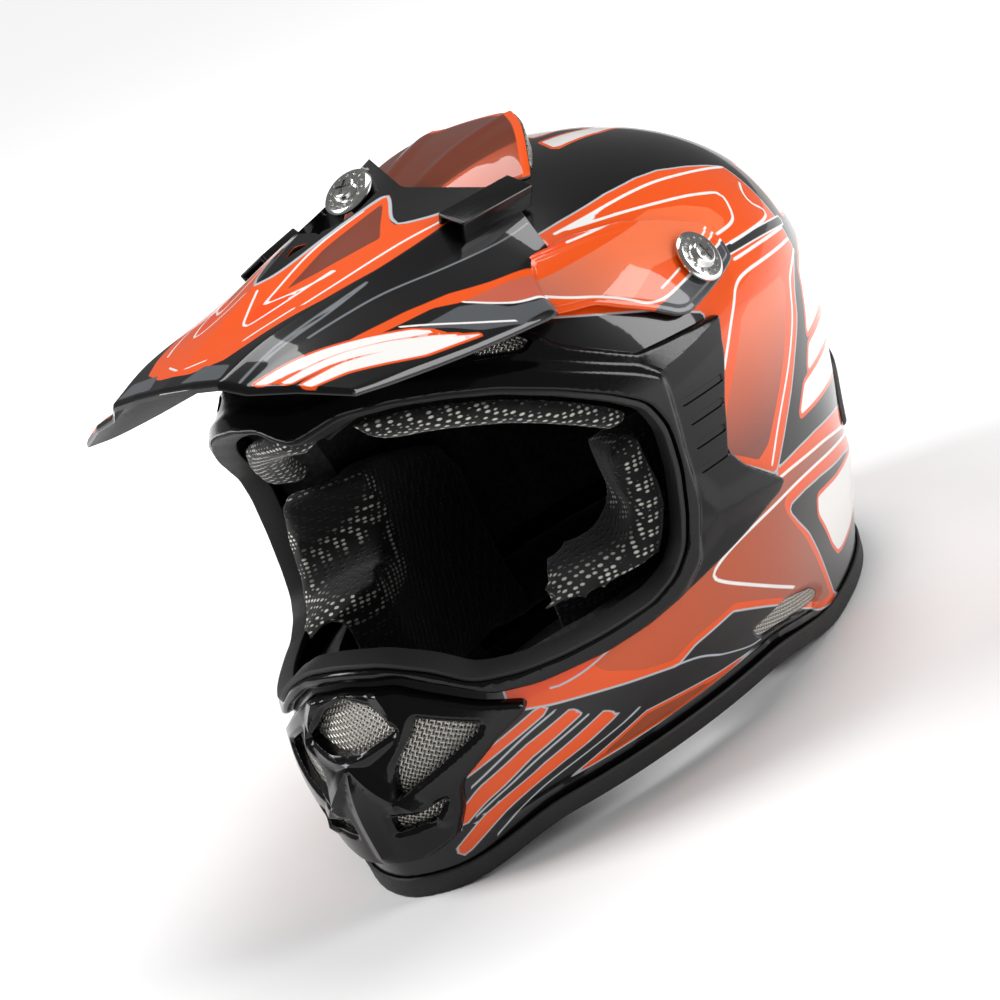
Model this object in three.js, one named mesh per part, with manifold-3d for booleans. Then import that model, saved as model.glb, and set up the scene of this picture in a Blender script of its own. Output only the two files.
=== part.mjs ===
// A full-face motocross helmet standing on its lower rim, in millimetres.
// +Z is up, the eye port faces -Y and the wearer's left is +X.
// The shell is a stack of rounded rings. Everything that lies on it is placed by two numbers: a
// turn in degrees round the head, 0 at the front and 90 at the wearer's left, and a height.
import * as THREE from "three";
import { mergeVertices } from "three/addons/utils/BufferGeometryUtils.js";
import Module from "manifold-3d";

// Driving dimensions
const SHELL_HEIGHT = 249;
const SHELL_WALL = 4;
const EQUATOR = 140; // height where the side walls become the dome
const SHELL_BASE = -2; // underside of the shell, inside the rim trim
const FLOOR = -5; // underside of the rim trim, which the helmet stands on
const RIM_ARCH = 10; // lift of the rim over each shoulder
const RIM_ARCH_TOP = 30; // height where the lifted rings meet the level ones
const GAP = 0.4; // clearance between pieces that touch on the real helmet
const LINER_INNER = -30; // impact foam, measured inwards from the shell's face
const CHEEK_FOAM_INNER = -25;
const PAD_INNER = -52;
const FACE_STEPS = 44; // sides of the rings of the shell's face and what lies on it
const INSIDE_STEPS = 32;
const HEAD_CENTER = new THREE.Vector3(0, 20, 130);
const HINGE_Y = -8; // side screws: the peak tilts about the line through them
const HINGE_Z = 186;
const PEAK_WALL = 2.8;
const SCREW_FLANGE = 12; // radii
const SCREW_SHANK = 2.5;
const STRAP_WIDTH = 24;
const STRAP_THICK = 1.6;
const STRAP_Y = -12;
const WHOLE_SHIFT = new THREE.Vector3(0, 15.5, -FLOOR); // middle of the length, and the floor

// Half width, reach forward and back, and middle of the shell's rings, against height
const HALF_WIDTH = [[0, 99], [15, 103], [50, 112], [100, 121], [EQUATOR, 125]];
const FRONT_Y = [[0, -188], [20, -192], [50, -194], [75, -185], [95, -176], [EQUATOR, -166]];
const REAR_Y = [[0, 167], [20, 171], [45, 178], [65, 172], [90, 174], [EQUATOR, 177]];
const MIDDLE_Y = [[0, 0], [100, 2], [EQUATOR, 6]];
const FRONT_ROUNDNESS = [[0, 1.72], [60, 1.75], [EQUATOR, 1.82]];
const REAR_ROUNDNESS = 2.18;
const DOME_DRIFT = 8; // the dome's rings move back with height
const CROWN_PULL = 3.5; // and the topmost ones forward again, for a full crown
const DOME_POWER = { side: 2.14, front: 2.15, rear: 1.98 };

// Outlines on the shell, as [turn, height], from the top middle to the bottom middle
const EYE_PORT = [[0, 187], [8, 193], [16, 192], [24, 188], [32, 182], [41, 172], [50, 160],
  [56, 150], [58.5, 138], [59, 117], [58, 100], [56, 87], [52, 78], [46, 73], [36, 72], [29, 72.5],
  [23, 74], [17, 78], [12, 88], [6, 95], [0, 97]];
const SURROUND = [[0, 206], [15, 205], [30, 202], [41, 195], [43, 189], [46, 184], [58, 169],
  [80, 165], [78, 150], [74, 132], [72, 112], [76, 102], [88, 83], [86, 79], [73, 74], [58, 69],
  [44, 64], [35, 64], [25, 66], [19, 70], [14, 79], [8, 88], [0, 91]];
const MOUTHPIECE = [[0, 89], [7, 86], [12.5, 77], [17, 69], [22.5, 62], [22, 58], [18, 53],
  [12, 41], [11, 30], [9, 19], [5, 14], [0, 14]];
const LINER_OPENING = [[0, 197], [20, 196], [40, 182], [55, 166], [64, 140], [66, 112], [72, 98],
  [112, 98], [114, -60], [60, -60], [0, -60]];
// Whole outlines on the left side
const MESH_UPPER = [[9, 73], [16.5, 62], [16, 59], [5, 44], [5.5, 57], [8, 66]];
const MESH_LOWER = [[3, 37], [6, 35.5], [10, 38], [8, 30], [3, 29]];
const BROW_VENT = [[29, 198.5], [37, 197], [40, 192], [38, 190], [29.5, 195]];
const SIDE_VENT = [[70, 28], [85, 28.5], [99, 21], [104, 15], [100, 12.5], [85, 17], [72, 21]];
const PEAK_EAR = [[42, 200], [47, 196], [54, 193], [65, 180], [70, 173], [73, 171.5], [84, 175],
  [93, 179], [94, 188], [92, 198], [83, 207], [73, 214], [60, 218], [44, 220]];
const CHEEK_FOAM = [[64, 94], [108, 94], [108, -40], [64, -40]];
const CHEEK_PAD = [[47, 138], [64, 139], [84, 128], [104, 112], [111, 92], [111, -60], [32, -60],
  [26, 40], [25, 81], [35, 84], [43, 90], [47, 102]];
const CHIN_FOAM = [[18, 62], [52, 62], [52, -40], [18, -40]];
// Whole outlines across the front
const MESH_CENTER = [[0, 86], [3.6, 82], [7, 71], [2.5, 66], [0, 65], [-2.5, 66], [-7, 71],
  [-3.6, 82]];

// Materials
const shellPaint = finish(0x1b1b1d, 0.12, 0);
const orangePaint = finish(0xe8560f, 0.15, 0);
const glossBlack = finish(0x101011, 0.2, 0);
const satinBlack = finish(0x1c1c1e, 0.45, 0);
const rubber = finish(0x151515, 0.75, 0);
const polystyrene = finish(0x3c3c3e, 0.9, 0);
const liningFabric = finish(0x121213, 0.95, 0);
const spacerMesh = finish(0x2b2b2d, 0.85, 0);
const wovenMetal = finish(0xa9a49a, 0.4, 0.9);
const aluminium = finish(0xd8d8d6, 0.25, 1);
const steel = finish(0xb4b4b2, 0.3, 1);
const brass = finish(0xb08d4a, 0.35, 1);
const webbing = finish(0x171718, 0.9, 0);

function finish(color, roughness, metalness) {
  return new THREE.MeshStandardMaterial({ color, roughness, metalness });
}

const wasm = await Module();
wasm.setup();
const part = new THREE.Group();

// ---------- solids ----------

// A closed geometry as a manifold solid that faces out.
function solidOf(geometry) {
  const bare = geometry.clone();
  bare.deleteAttribute("normal");
  bare.deleteAttribute("uv");
  const merged = mergeVertices(bare, 1e-3);
  const corners = merged.index.array;
  const kept = [];
  for (let i = 0; i < corners.length; i += 3) {
    const [a, b, c] = [corners[i], corners[i + 1], corners[i + 2]];
    if (a !== b && b !== c && c !== a) kept.push(a, b, c);
  }
  const build = (triangles) =>
    new wasm.Manifold(
      new wasm.Mesh({
        numProp: 3,
        vertProperties: merged.attributes.position.array,
        triVerts: new Uint32Array(triangles),
      }),
    );
  const made = build(kept);
  return made.volume() > 0 ? made : build(kept.reverse());
}

// Joins equal loops of points into one closed body. A loop goes out along its first half and comes
// back along its second half, so that a ladder of faces closes each end of an open run.
function loft(loops, closed = false) {
  const size = loops[0].length;
  const position = new Float32Array(loops.flat().flatMap((p) => [p.x, p.y, p.z]));
  const index = [];
  const quad = (a, b, c, d) => index.push(a, b, c, a, c, d);
  const runs = closed ? loops.length : loops.length - 1;
  for (let i = 0; i < runs; i += 1) {
    const here = i * size;
    const next = ((i + 1) % loops.length) * size;
    for (let j = 0; j < size; j += 1) {
      const k = (j + 1) % size;
      quad(here + j, here + k, next + k, next + j);
    }
  }
  if (!closed) {
    const last = (loops.length - 1) * size;
    for (let j = 0; j < size / 2 - 1; j += 1) {
      const back = size - 1 - j;
      quad(back, back - 1, j + 1, j);
      quad(last + j, last + j + 1, last + back - 1, last + back);
    }
  }
  const geometry = new THREE.BufferGeometry();
  geometry.setAttribute("position", new THREE.BufferAttribute(position, 3));
  geometry.setIndex(index);
  return solidOf(geometry);
}

function meshOf(solid) {
  const made = solid.getMesh();
  const geometry = new THREE.BufferGeometry();
  geometry.setAttribute("position", new THREE.BufferAttribute(made.vertProperties, 3));
  geometry.setIndex(new THREE.BufferAttribute(made.triVerts, 1));
  return geometry;
}

function add(name, shape, material) {
  const geometry = shape.isBufferGeometry ? shape : meshOf(shape);
  const mesh = new THREE.Mesh(geometry, material);
  mesh.name = name;
  mesh.position.copy(WHOLE_SHIFT);
  part.add(mesh);
  return mesh;
}

// A geometry moved to a point, with its own +Z turned to a direction.
function placed(geometry, at, direction) {
  const turn = new THREE.Quaternion().setFromUnitVectors(new THREE.Vector3(0, 0, 1), direction);
  return geometry.clone().applyQuaternion(turn).translate(at.x, at.y, at.z);
}

// ---------- the shell's surface ----------

// A smooth curve through points: the value at one height.
function along(points, height) {
  const last = points.length - 1;
  const at = THREE.MathUtils.clamp(height, points[0][0], points[last][0]);
  let i = 0;
  while (i < last - 1 && at > points[i + 1][0]) i += 1;
  const slope = (k) => (points[k + 1][1] - points[k][1]) / (points[k + 1][0] - points[k][0]);
  const tangent = (k) => {
    if (k === 0) return slope(0);
    if (k === last) return 0;
    const before = points[k][0] - points[k - 1][0];
    const after = points[k + 1][0] - points[k][0];
    return (slope(k - 1) * after + slope(k) * before) / (before + after);
  };
  const span = points[i + 1][0] - points[i][0];
  const u = (at - points[i][0]) / span;
  return (2 * u ** 3 - 3 * u ** 2 + 1) * points[i][1] + (u ** 3 - 2 * u ** 2 + u) * span * tangent(i)
    + (-2 * u ** 3 + 3 * u ** 2) * points[i + 1][1] + (u ** 3 - u ** 2) * span * tangent(i + 1);
}

// How far the rim is lifted off the floor: it arches over each shoulder.
function archAt(turn) {
  const around = Math.abs(THREE.MathUtils.euclideanModulo(turn + 180, 360) - 180);
  const { smoothstep } = THREE.MathUtils;
  return RIM_ARCH * smoothstep(around, 6, 22) * (1 - smoothstep(around, 72, 112));
}

// The ring at a height, out millimetres outside the shell's face.
function ringAt(height, out) {
  const low = Math.min(height, EQUATOR);
  const rise = THREE.MathUtils.clamp((height - EQUATOR) / (SHELL_HEIGHT + out - EQUATOR), 0, 1);
  const shrink = (power) => (1 - rise ** power) ** (1 / power);
  const lowMiddle = along(MIDDLE_Y, low);
  const dome = height > EQUATOR;
  return {
    halfWidth: (along(HALF_WIDTH, low) + out) * (dome ? shrink(DOME_POWER.side) : 1),
    middle: lowMiddle + DOME_DRIFT * rise - CROWN_PULL * rise ** 8,
    front: (lowMiddle - along(FRONT_Y, low) + out) * (dome ? shrink(DOME_POWER.front) : 1),
    rear: (along(REAR_Y, low) + out - lowMiddle) * (dome ? shrink(DOME_POWER.rear) : 1),
    frontPower: along(FRONT_ROUNDNESS, low) + 0.2 * rise,
  };
}

function onShell(turn, height, out = 0) {
  const ring = ringAt(height, out);
  const angle = THREE.MathUtils.degToRad(turn);
  const side = Math.sin(angle);
  const ahead = Math.cos(angle);
  const reach = ahead > 0 ? ring.front : ring.rear;
  const power = ahead > 0 ? ring.frontPower : REAR_ROUNDNESS;
  if (ring.halfWidth < 1e-6) return new THREE.Vector3(0, ring.middle, height);
  const across = (Math.abs(side) / ring.halfWidth) ** power;
  const radius = (across + (Math.abs(ahead) / reach) ** power) ** (-1 / power);
  return new THREE.Vector3(radius * side, ring.middle - radius * ahead, height);
}

// Height of the dome's face over a point, out millimetres outside the shell.
function domeHeight(x, y, out = 0) {
  let low = EQUATOR;
  let high = SHELL_HEIGHT + out;
  for (let i = 0; i < 30; i += 1) {
    const middle = (low + high) / 2;
    const ring = ringAt(middle, out);
    const reach = y < ring.middle ? ring.front : ring.rear;
    const power = y < ring.middle ? ring.frontPower : REAR_ROUNDNESS;
    const size = (Math.abs(x) / ring.halfWidth) ** power
      + (Math.abs(y - ring.middle) / reach) ** power;
    if (size < 1) low = middle;
    else high = middle;
  }
  return low;
}

const range = (count) => Array.from({ length: count }, (_, i) => i);
const turnsOf = (steps) => range(steps).map((i) => (i * 360) / steps);

// A solid bounded by the shell's surface moved out or in, with a flat base.
function dome(out, base = -10) {
  const inside = out <= -SHELL_WALL;
  const turns = turnsOf(inside ? INSIDE_STEPS : FACE_STEPS);
  const bands = inside ? 6 : 9;
  const sideLevels = inside ? [0, 25, 50, 75, 100] : [0, 15, 30, 50, 65, 80, 95, 118];
  const top = SHELL_HEIGHT + out;
  const domeLevels = range(bands).map(
    (i) => EQUATOR + (top - EQUATOR) * Math.sin((i * Math.PI) / 2 / bands));
  const levels = [...sideLevels, ...domeLevels].filter((z) => z > base + 2);
  const lifted = (turn, z) => {
    if (base >= RIM_ARCH_TOP) return z;
    return z + archAt(turn) * Math.max(0, (RIM_ARCH_TOP - z) / (RIM_ARCH_TOP - base));
  };
  const loops = [base, ...levels].map((z) =>
    turns.map((turn) => onShell(turn, lifted(turn, z), out)));
  const point = (z) => turns.map(() => new THREE.Vector3(0, ringAt(z, out).middle, z));
  return loft([point(base), ...loops, point(top)]);
}

const mirror = (outline) => outline.map(([turn, height]) => [-turn, height]);

// A half outline and its mirror image as one closed outline.
function bothSides(half) {
  const right = mirror(half).reverse();
  return [...half, ...right.slice(1, -1)];
}

// An outline with its long edges divided, so that it follows the shell round.
function divided(outline) {
  return outline.flatMap(([turn, height], i) => {
    const [nextTurn, nextHeight] = outline[(i + 1) % outline.length];
    const parts = Math.ceil(Math.max(Math.abs(nextTurn - turn) / 12, Math.abs(nextHeight - height) / 30));
    return range(Math.max(parts, 1)).map((k) => [turn + ((nextTurn - turn) * k) / parts,
      height + ((nextHeight - height) * k) / parts]);
  });
}

// The cone that looks out from inside the head through an outline on the shell.
// swell moves the outline out from its own middle by that many millimetres.
function cone(outline, swell = 0, reach = 420, eye = HEAD_CENTER) {
  const rim = divided(outline).map(([turn, height]) => onShell(turn, height));
  const middle = rim.reduce((sum, p) => sum.add(p), new THREE.Vector3()).divideScalar(rim.length);
  const heading = (p) => p.clone().sub(eye).normalize();
  const axis = heading(middle);
  const directions = rim.map((p, i) => {
    const before = rim[(i + rim.length - 1) % rim.length];
    const after = rim[(i + 1) % rim.length];
    const run = after.clone().sub(before).normalize();
    const aside = heading(p).cross(run).normalize();
    if (aside.dot(p.clone().sub(middle)) < 0) aside.negate();
    return heading(p.clone().addScaledVector(aside, swell));
  });
  const shells = [1, 0.7, 0.4, 0].map((share) =>
    directions.map((d) => axis.clone().lerp(d, share).normalize().multiplyScalar(reach).add(eye)),
  );
  return loft([directions.map(() => eye.clone()), ...shells]);
}

// A piece of the shell's layer between two offsets, inside an outline.
function layer(outline, inner, outer, swell = 0, base = -10) {
  return dome(outer, base).subtract(dome(inner, base - 5)).intersect(cone(outline, swell));
}

// Frames along an outline: a point on the shell, the way out, and the way into the opening.
function edgeFrames(outline, swell = 0) {
  const rim = outline.map(([turn, height]) => onShell(turn, height));
  const middle = rim.reduce((sum, p) => sum.add(p), new THREE.Vector3()).divideScalar(rim.length);
  return rim.map((p, i) => {
    const before = rim[(i + rim.length - 1) % rim.length];
    const after = rim[(i + 1) % rim.length];
    const outward = p.clone().sub(HEAD_CENTER).normalize();
    const inward = outward.clone().cross(after.clone().sub(before)).normalize();
    if (inward.dot(middle.clone().sub(p)) < 0) inward.negate();
    return { at: p.addScaledVector(inward, -swell), outward, inward };
  });
}

// A bar of the given section swept along edge frames; the section is in [inward, outward].
function sweep(frames, section, closed = false) {
  const loops = frames.map(({ at, outward, inward }) =>
    section.map(([q, s]) => at.clone().addScaledVector(inward, q).addScaledVector(outward, s)),
  );
  return loft(loops, closed);
}

// ---------- shell, surround and mouthpiece ----------

const port = bothSides(EYE_PORT);
const mouth = bothSides(MOUTHPIECE);
const hinge = (side) => {
  const turn = THREE.MathUtils.radToDeg(Math.atan2(1, (ringAt(HINGE_Z, 0).middle - HINGE_Y) / 120));
  const at = onShell(side * turn, HINGE_Z);
  const lift = (onShell(turn, HINGE_Z + 8).x - onShell(turn, HINGE_Z - 8).x) / 16;
  return { at, direction: new THREE.Vector3(side, -0.06, -lift).normalize() };
};
const TOP_Y = -59;
const topSlope = Math.atan2(HINGE_Y - TOP_Y, 262 - HINGE_Z);
const topScrew = {
  at: new THREE.Vector3(0, TOP_Y, 261),
  direction: new THREE.Vector3(0, -Math.sin(topSlope), Math.cos(topSlope)),
};
const screws = { left: hinge(1), right: hinge(-1), top: topScrew };

const rod = (radius, from, to, { at, direction }, sides = 14) =>
  solidOf(
    placed(
      new THREE.CylinderGeometry(radius, radius, to - from, sides)
        .rotateX(Math.PI / 2)
        .translate(0, 0, (from + to) / 2),
      at,
      direction,
    ),
  );

let shell = dome(0, SHELL_BASE).subtract(dome(-SHELL_WALL)).subtract(cone(port));
shell = shell.subtract(cone(mouth, -5)).subtract(cone(MESH_CENTER, 1.5));
for (const vent of [BROW_VENT, mirror(BROW_VENT), SIDE_VENT, mirror(SIDE_VENT)])
  shell = shell.subtract(cone(vent));
const INSERT_RADIUS = 5;
for (const screw of Object.values(screws))
  shell = shell.subtract(rod(INSERT_RADIUS + GAP, -60, 20, screw));
add("outer_shell", shell, shellPaint);

const surround = dome(2.8).subtract(dome(GAP)).intersect(cone(bothSides(SURROUND)))
  .subtract(cone(port))
  .subtract(cone(BROW_VENT, 1))
  .subtract(cone(mirror(BROW_VENT), 1));
add("eyeport_surround", surround, glossBlack);

const SEAL_SECTION = [[GAP, -7], [GAP, 3.4], [2.6, 3.4], [2.6, -7]];
add("eyeport_seal", sweep(edgeFrames(port), SEAL_SECTION, true), rubber);

const meshOutlines = { upper_left: MESH_UPPER, upper_right: mirror(MESH_UPPER),
  lower_left: MESH_LOWER, lower_right: mirror(MESH_LOWER), center: MESH_CENTER };
let mouthpiece = layer(mouth, GAP, 6);
for (const outline of Object.values(meshOutlines))
  mouthpiece = mouthpiece.subtract(cone(outline));
add("mouthpiece", mouthpiece, glossBlack);
for (const [place, outline] of Object.entries(meshOutlines))
  add("mouth_mesh_" + place, layer(outline, -1.6, -0.4, place === "center" ? 0.6 : 0.4), wovenMetal);

for (const [side, flip] of [["left", (o) => o], ["right", mirror]]) {
  add("brow_vent_mesh_" + side, layer(flip(BROW_VENT), -2.6, -1.4, -1.2), wovenMetal);
  add("side_vent_mesh_" + side, layer(flip(SIDE_VENT), -2.6, -1.4, -0.8), wovenMetal);
}

const RIM_SECTION = [[2.2, FLOOR], [2.2, 5], [GAP, 5], [GAP, SHELL_BASE - GAP],
  [-7.8, SHELL_BASE - GAP], [-7.8, 5], [-9.4, 5], [-9.4, FLOOR]];
const rimLoops = turnsOf(FACE_STEPS).map((turn) =>
  RIM_SECTION.map(([out, z]) => onShell(turn, z + archAt(turn), out)));
add("rim_trim", loft(rimLoops, true), rubber);

// ---------- crown cover and rear lip ----------

// Half width and lift of the crown cover, against its place along the head
const COVER_FRONT = -76;
const COVER_REAR = -8;
const COVER_BOW = [8, 60]; // how far the middle lies behind the corners, at the front and rear
const COVER_WIDTH = [[COVER_FRONT, 17], [-60, 25], [-40, 34], [-20, 47], [COVER_REAR, 55]];
const COVER_LIFT = [[COVER_FRONT, 2], [-60, 4], [-40, 7], [-20, 10.5], [COVER_REAR, 12.5]];
const ACROSS = [-1, -0.9, -0.6, -0.3, 0, 0.3, 0.6, 0.9, 1];

// share is the part of the full width a loop takes, sunk how far its top lies under the cover's.
function coverLoop(y, base, share = 1, sunk = 0) {
  const along01 = (y - COVER_FRONT) / (COVER_REAR - COVER_FRONT);
  const bowAt = THREE.MathUtils.lerp(COVER_BOW[0], COVER_BOW[1], along01);
  const bow = (u) => y + bowAt * (1 - (u * share) ** 2);
  const half = along(COVER_WIDTH, y) * share;
  const lift = along(COVER_LIFT, y) - sunk;
  const row = (height) => ACROSS.map((u) =>
    new THREE.Vector3(u * half, bow(u), domeHeight(u * half, bow(u)) + height(u)));
  const top = row((u) => base + Math.max(0.9, lift * (1 - Math.abs(u) ** 5)));
  return [...top, ...row(() => base).reverse()];
}
const coverStations = range(9).map((i) => COVER_FRONT + ((COVER_REAR - COVER_FRONT) * i) / 8);
let cover = loft(coverStations.map((y) => coverLoop(y, GAP)));
cover = cover.subtract(rod(8, -40, 30, topScrew));
add("crown_vent_cover", cover, orangePaint);
const meshStations = [COVER_REAR + GAP, COVER_REAR + 4 * GAP];
add("crown_vent_mesh", loft(meshStations.map((y) => coverLoop(y, GAP, 0.94, 0.8))), wovenMetal);

const REAR_LIP = [[-42, 62], [-38, 92], [-20, 104], [0, 107], [20, 104], [38, 92], [42, 62],
  [24, 52], [0, 49], [-24, 52]].map(([turn, height]) => [180 + turn, height]);
add("rear_vent_cover", layer(REAR_LIP, GAP, 5), satinBlack);

// ---------- peak ----------

// Half sections of the peak from its front edge back: middle, tongue, plateau edge, ledge, wing
// and outer edge, each as [x, y, z].
const PEAK_SECTIONS = [
  [[0, -213, 236.5], [15, -212.5, 236], [28, -211, 234.5], [35, -206, 229], [53, -199, 224],
    [71, -190, 216]],
  [[0, -182, 241.5], [17, -181, 240.5], [32, -180, 239.5], [41, -178, 232.5], [60, -172, 223],
    [76, -167, 211.5]],
  [[0, -142, 250], [18, -141, 246], [38, -139, 240.5], [49, -137, 232], [68, -133, 219],
    [86, -130, 206]],
  [[0, -103, 258.5], [19, -102, 252], [44, -99, 241], [55, -96, 231], [77, -92, 216],
    [95, -88, 201]],
  [[0, -70, 264], [21, -68, 255], [50, -66, 242], [62, -63, 231], [80, -66, 218],
    [91, -74, 199]],
  [[0, -38, 270], [20, -50, 257], [55, -37, 245], [68, -42, 233], [82, -54, 220],
    [97, -65, 197]],
];
function peakLoop(half, drop) {
  const left = half.map(([x, y, z]) => new THREE.Vector3(x, y, z));
  const right = half.slice(1).reverse().map(([x, y, z]) => new THREE.Vector3(-x, y, z));
  const top = [...right, ...left];
  const under = top.map((p) => new THREE.Vector3(p.x * 0.985, p.y + 0.4, p.z - drop));
  return [...top, ...under.reverse()];
}
let peak = loft(PEAK_SECTIONS.map((half) => peakLoop(half, PEAK_WALL)));
peak = peak.add(layer(PEAK_EAR, 2, 4.8)).add(layer(mirror(PEAK_EAR), 2, 4.8));

// Slot of the top screw: an arc about the hinge line, with a sunk seat for the screw's flange.
const SEAT_RADIUS = Math.hypot(HINGE_Y - TOP_Y, 261 - HINGE_Z) - 1;
function arcBlock(halfWidth, forward, backward, low, high) {
  const loops = range(9).map((i) => {
    const angle = topSlope + (forward + ((-backward - forward) * i) / 8) / SEAT_RADIUS;
    const end = Math.min(i, 8 - i) / 2;
    const half = halfWidth * (end < 1 ? 0.62 + 0.38 * end : 1);
    const point = (x, r) =>
      new THREE.Vector3(x, HINGE_Y - r * Math.sin(angle), HINGE_Z + r * Math.cos(angle));
    return [point(-half, high), point(half, high), point(half, low), point(-half, low)];
  });
  return loft(loops);
}
const SEAT_FORWARD = 28;
const SEAT_BACKWARD = 14.5;
const seatWall = arcBlock(SCREW_FLANGE + 4.5, SEAT_FORWARD + 3, SEAT_BACKWARD + 1,
  SEAT_RADIUS - PEAK_WALL, SEAT_RADIUS + 4);
const sunk = arcBlock(SCREW_FLANGE + 1.6, SEAT_FORWARD, SEAT_BACKWARD, SEAT_RADIUS, SEAT_RADIUS + 40);
const slot = arcBlock(SCREW_SHANK + 1.4, 18, 5, SEAT_RADIUS - 12, SEAT_RADIUS + 2);
peak = peak.add(seatWall).subtract(sunk).subtract(slot);

const SCOOP = { width: 15, length: 42, height: 14, turn: -0.27, roll: 0.42 };
function scoopBlock(width, length, height, side, shift = 0) {
  const box = new THREE.BoxGeometry(width, length, height)
    .translate(0, shift, 0)
    .rotateY(SCOOP.roll)
    .rotateZ(SCOOP.turn)
    .translate(58, -52, 238);
  if (side < 0) box.scale(-1, 1, 1);
  return solidOf(box);
}
for (const [name, side] of [["left", 1], ["right", -1]]) {
  const body = scoopBlock(SCOOP.width, SCOOP.length, SCOOP.height, side)
    .subtract(scoopBlock(SCOOP.width - 4, SCOOP.length, SCOOP.height - 4, side, -3))
    .subtract(dome(1.8));
  peak = peak.subtract(
    scoopBlock(SCOOP.width + 2 * GAP, SCOOP.length + 2 * GAP, SCOOP.height + 2 * GAP, side));
  add("peak_scoop_" + name, body, glossBlack);
}
peak = peak.subtract(dome(1.8));
for (const side of ["left", "right"])
  peak = peak.subtract(rod(SCREW_SHANK + 1.5, -5, 20, screws[side]));
const EMPTY_SCRAP = 60; // cubic millimetres: offcuts smaller than this are dropped
peak = wasm.Manifold.union(peak.decompose().filter((body) => body.volume() > EMPTY_SCRAP));
add("peak", peak, orangePaint);

// ---------- screws ----------

const flangeFrom = { left: 6.4, right: 6.4, top: 1.1 }; // underside of each flange along its axis
const screwProfile = [[0, -13], [2.5, -13], [2.5, 0], [12, 0], [12, 1.2], [11, 2.4], [6, 2.6],
  [5.4, 4.6], [4.6, 5], [0, 5]];
for (const [place, screw] of Object.entries(screws)) {
  const from = flangeFrom[place];
  const lathe = new THREE.LatheGeometry(screwProfile.map(([r, z]) => new THREE.Vector2(r, z)), 18)
    .rotateX(Math.PI / 2)
    .translate(0, 0, from);
  add("peak_screw_" + place, solidOf(placed(lathe, screw.at, screw.direction)), aluminium);
  const washer = rod(10, from - GAP - 0.5, from - GAP, screw, 18)
    .subtract(rod(SCREW_SHANK + GAP, from - 3, from + 2, screw));
  add("screw_washer_" + place, washer, rubber);
  const reach = place === "top" ? from - PEAK_WALL - 2.8 : from - 6;
  const depth = place === "top" ? -32 : -7;
  const insert = rod(INSERT_RADIUS, depth, reach, screw)
    .subtract(rod(SCREW_SHANK + GAP, from - 13 - GAP, reach + 5, screw));
  add("screw_insert_" + place, insert, brass);
}

// ---------- inside ----------

let liner = dome(-SHELL_WALL - 0.8, 52).subtract(dome(LINER_INNER))
  .subtract(cone(bothSides(LINER_OPENING)));
for (const screw of Object.values(screws)) liner = liner.subtract(rod(8, -60, 20, screw));
add("crown_impact_liner", liner, polystyrene);
add("crown_pad", dome(LINER_INNER - 0.8, 143).subtract(dome(LINER_INNER - 9))
  .subtract(cone(bothSides(LINER_OPENING), 1.5)), liningFabric);

const browPath = [...mirror(EYE_PORT.slice(1, 9)).reverse(), ...EYE_PORT.slice(0, 9)];
const BROW_SECTION = [[5, -8], [11, -8], [15, -12], [15, -26], [11, -31], [4, -31], [3.6, -20],
  [3.6, -12]];
const browFrames = edgeFrames(browPath).slice(1, -1);
add("brow_pad", sweep(browFrames, BROW_SECTION), spacerMesh);

for (const [side, sign, flip] of [["left", 1, (o) => o], ["right", -1, mirror]]) {
  const rivetAt = { at: new THREE.Vector3(sign * 84.4, STRAP_Y, 50),
    direction: new THREE.Vector3(sign, 0, 0) };
  const foam = layer(flip(CHEEK_FOAM), CHEEK_FOAM_INNER, -SHELL_WALL - 0.8, 0, 17)
    .subtract(rod(3.8, -6, 40, rivetAt)).subtract(rod(8, -6, 3, rivetAt));
  add("cheek_foam_" + side, foam, polystyrene);
  const facing = layer(flip(CHEEK_PAD), PAD_INNER, -9, 0, 18).intersect(cone(port, -4));
  const pad = layer(flip(CHEEK_PAD), PAD_INNER, LINER_INNER - 1.2, 0, 18).add(facing);
  add("cheek_pad_" + side, pad, spacerMesh);
  const rivet = rod(3, 1.6, 20.5, rivetAt).add(rod(7, 1.1, 2, rivetAt));
  add("strap_rivet_" + side, rivet, steel);
  const chin = layer(flip(CHIN_FOAM), -24, -SHELL_WALL - 0.8, 0, 17);
  add("chin_impact_liner_" + side, chin, polystyrene);
}

const NECK_SECTION = [[-9, 12], [-9, 34], [-14, 40], [-24, 40], [-29, 34], [-29, 18], [-24, 10],
  [-14, 10]];
const neckTurns = range(15).map((i) => 116 + (i * 128) / 14);
const neckLoops = neckTurns.map((turn) => NECK_SECTION.map(([out, z]) => onShell(turn, z, out)));
add("neck_roll", loft(neckLoops), liningFabric);

// ---------- chin strap ----------

// A band of webbing along a path in the XZ plane.
function band(path, width, thick = STRAP_THICK) {
  const points = path.map(([x, z]) => new THREE.Vector2(x, z));
  const loops = points.map((p, i) => {
    const before = points[Math.max(i - 1, 0)];
    const after = points[Math.min(i + 1, points.length - 1)];
    const run = after.clone().sub(before).normalize();
    const aside = new THREE.Vector2(-run.y, run.x).multiplyScalar(thick / 2);
    const corner = (s, y) => new THREE.Vector3(p.x + s * aside.x, y, p.y + s * aside.y);
    const low = STRAP_Y - width / 2;
    const high = STRAP_Y + width / 2;
    return [corner(1, low), corner(1, high), corner(-1, high), corner(-1, low)];
  });
  return loft(loops);
}
const HANG = [[84.4, 58], [83, 50], [79.6, 36], [76, 24], [73.6, 17], [70, 11.5], [64, 9]];
const RING_BAR_LOW = new THREE.Vector3(38, STRAP_Y, 5.6);
const RING_BAR_HIGH = new THREE.Vector3(42, STRAP_Y, 9);
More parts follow.
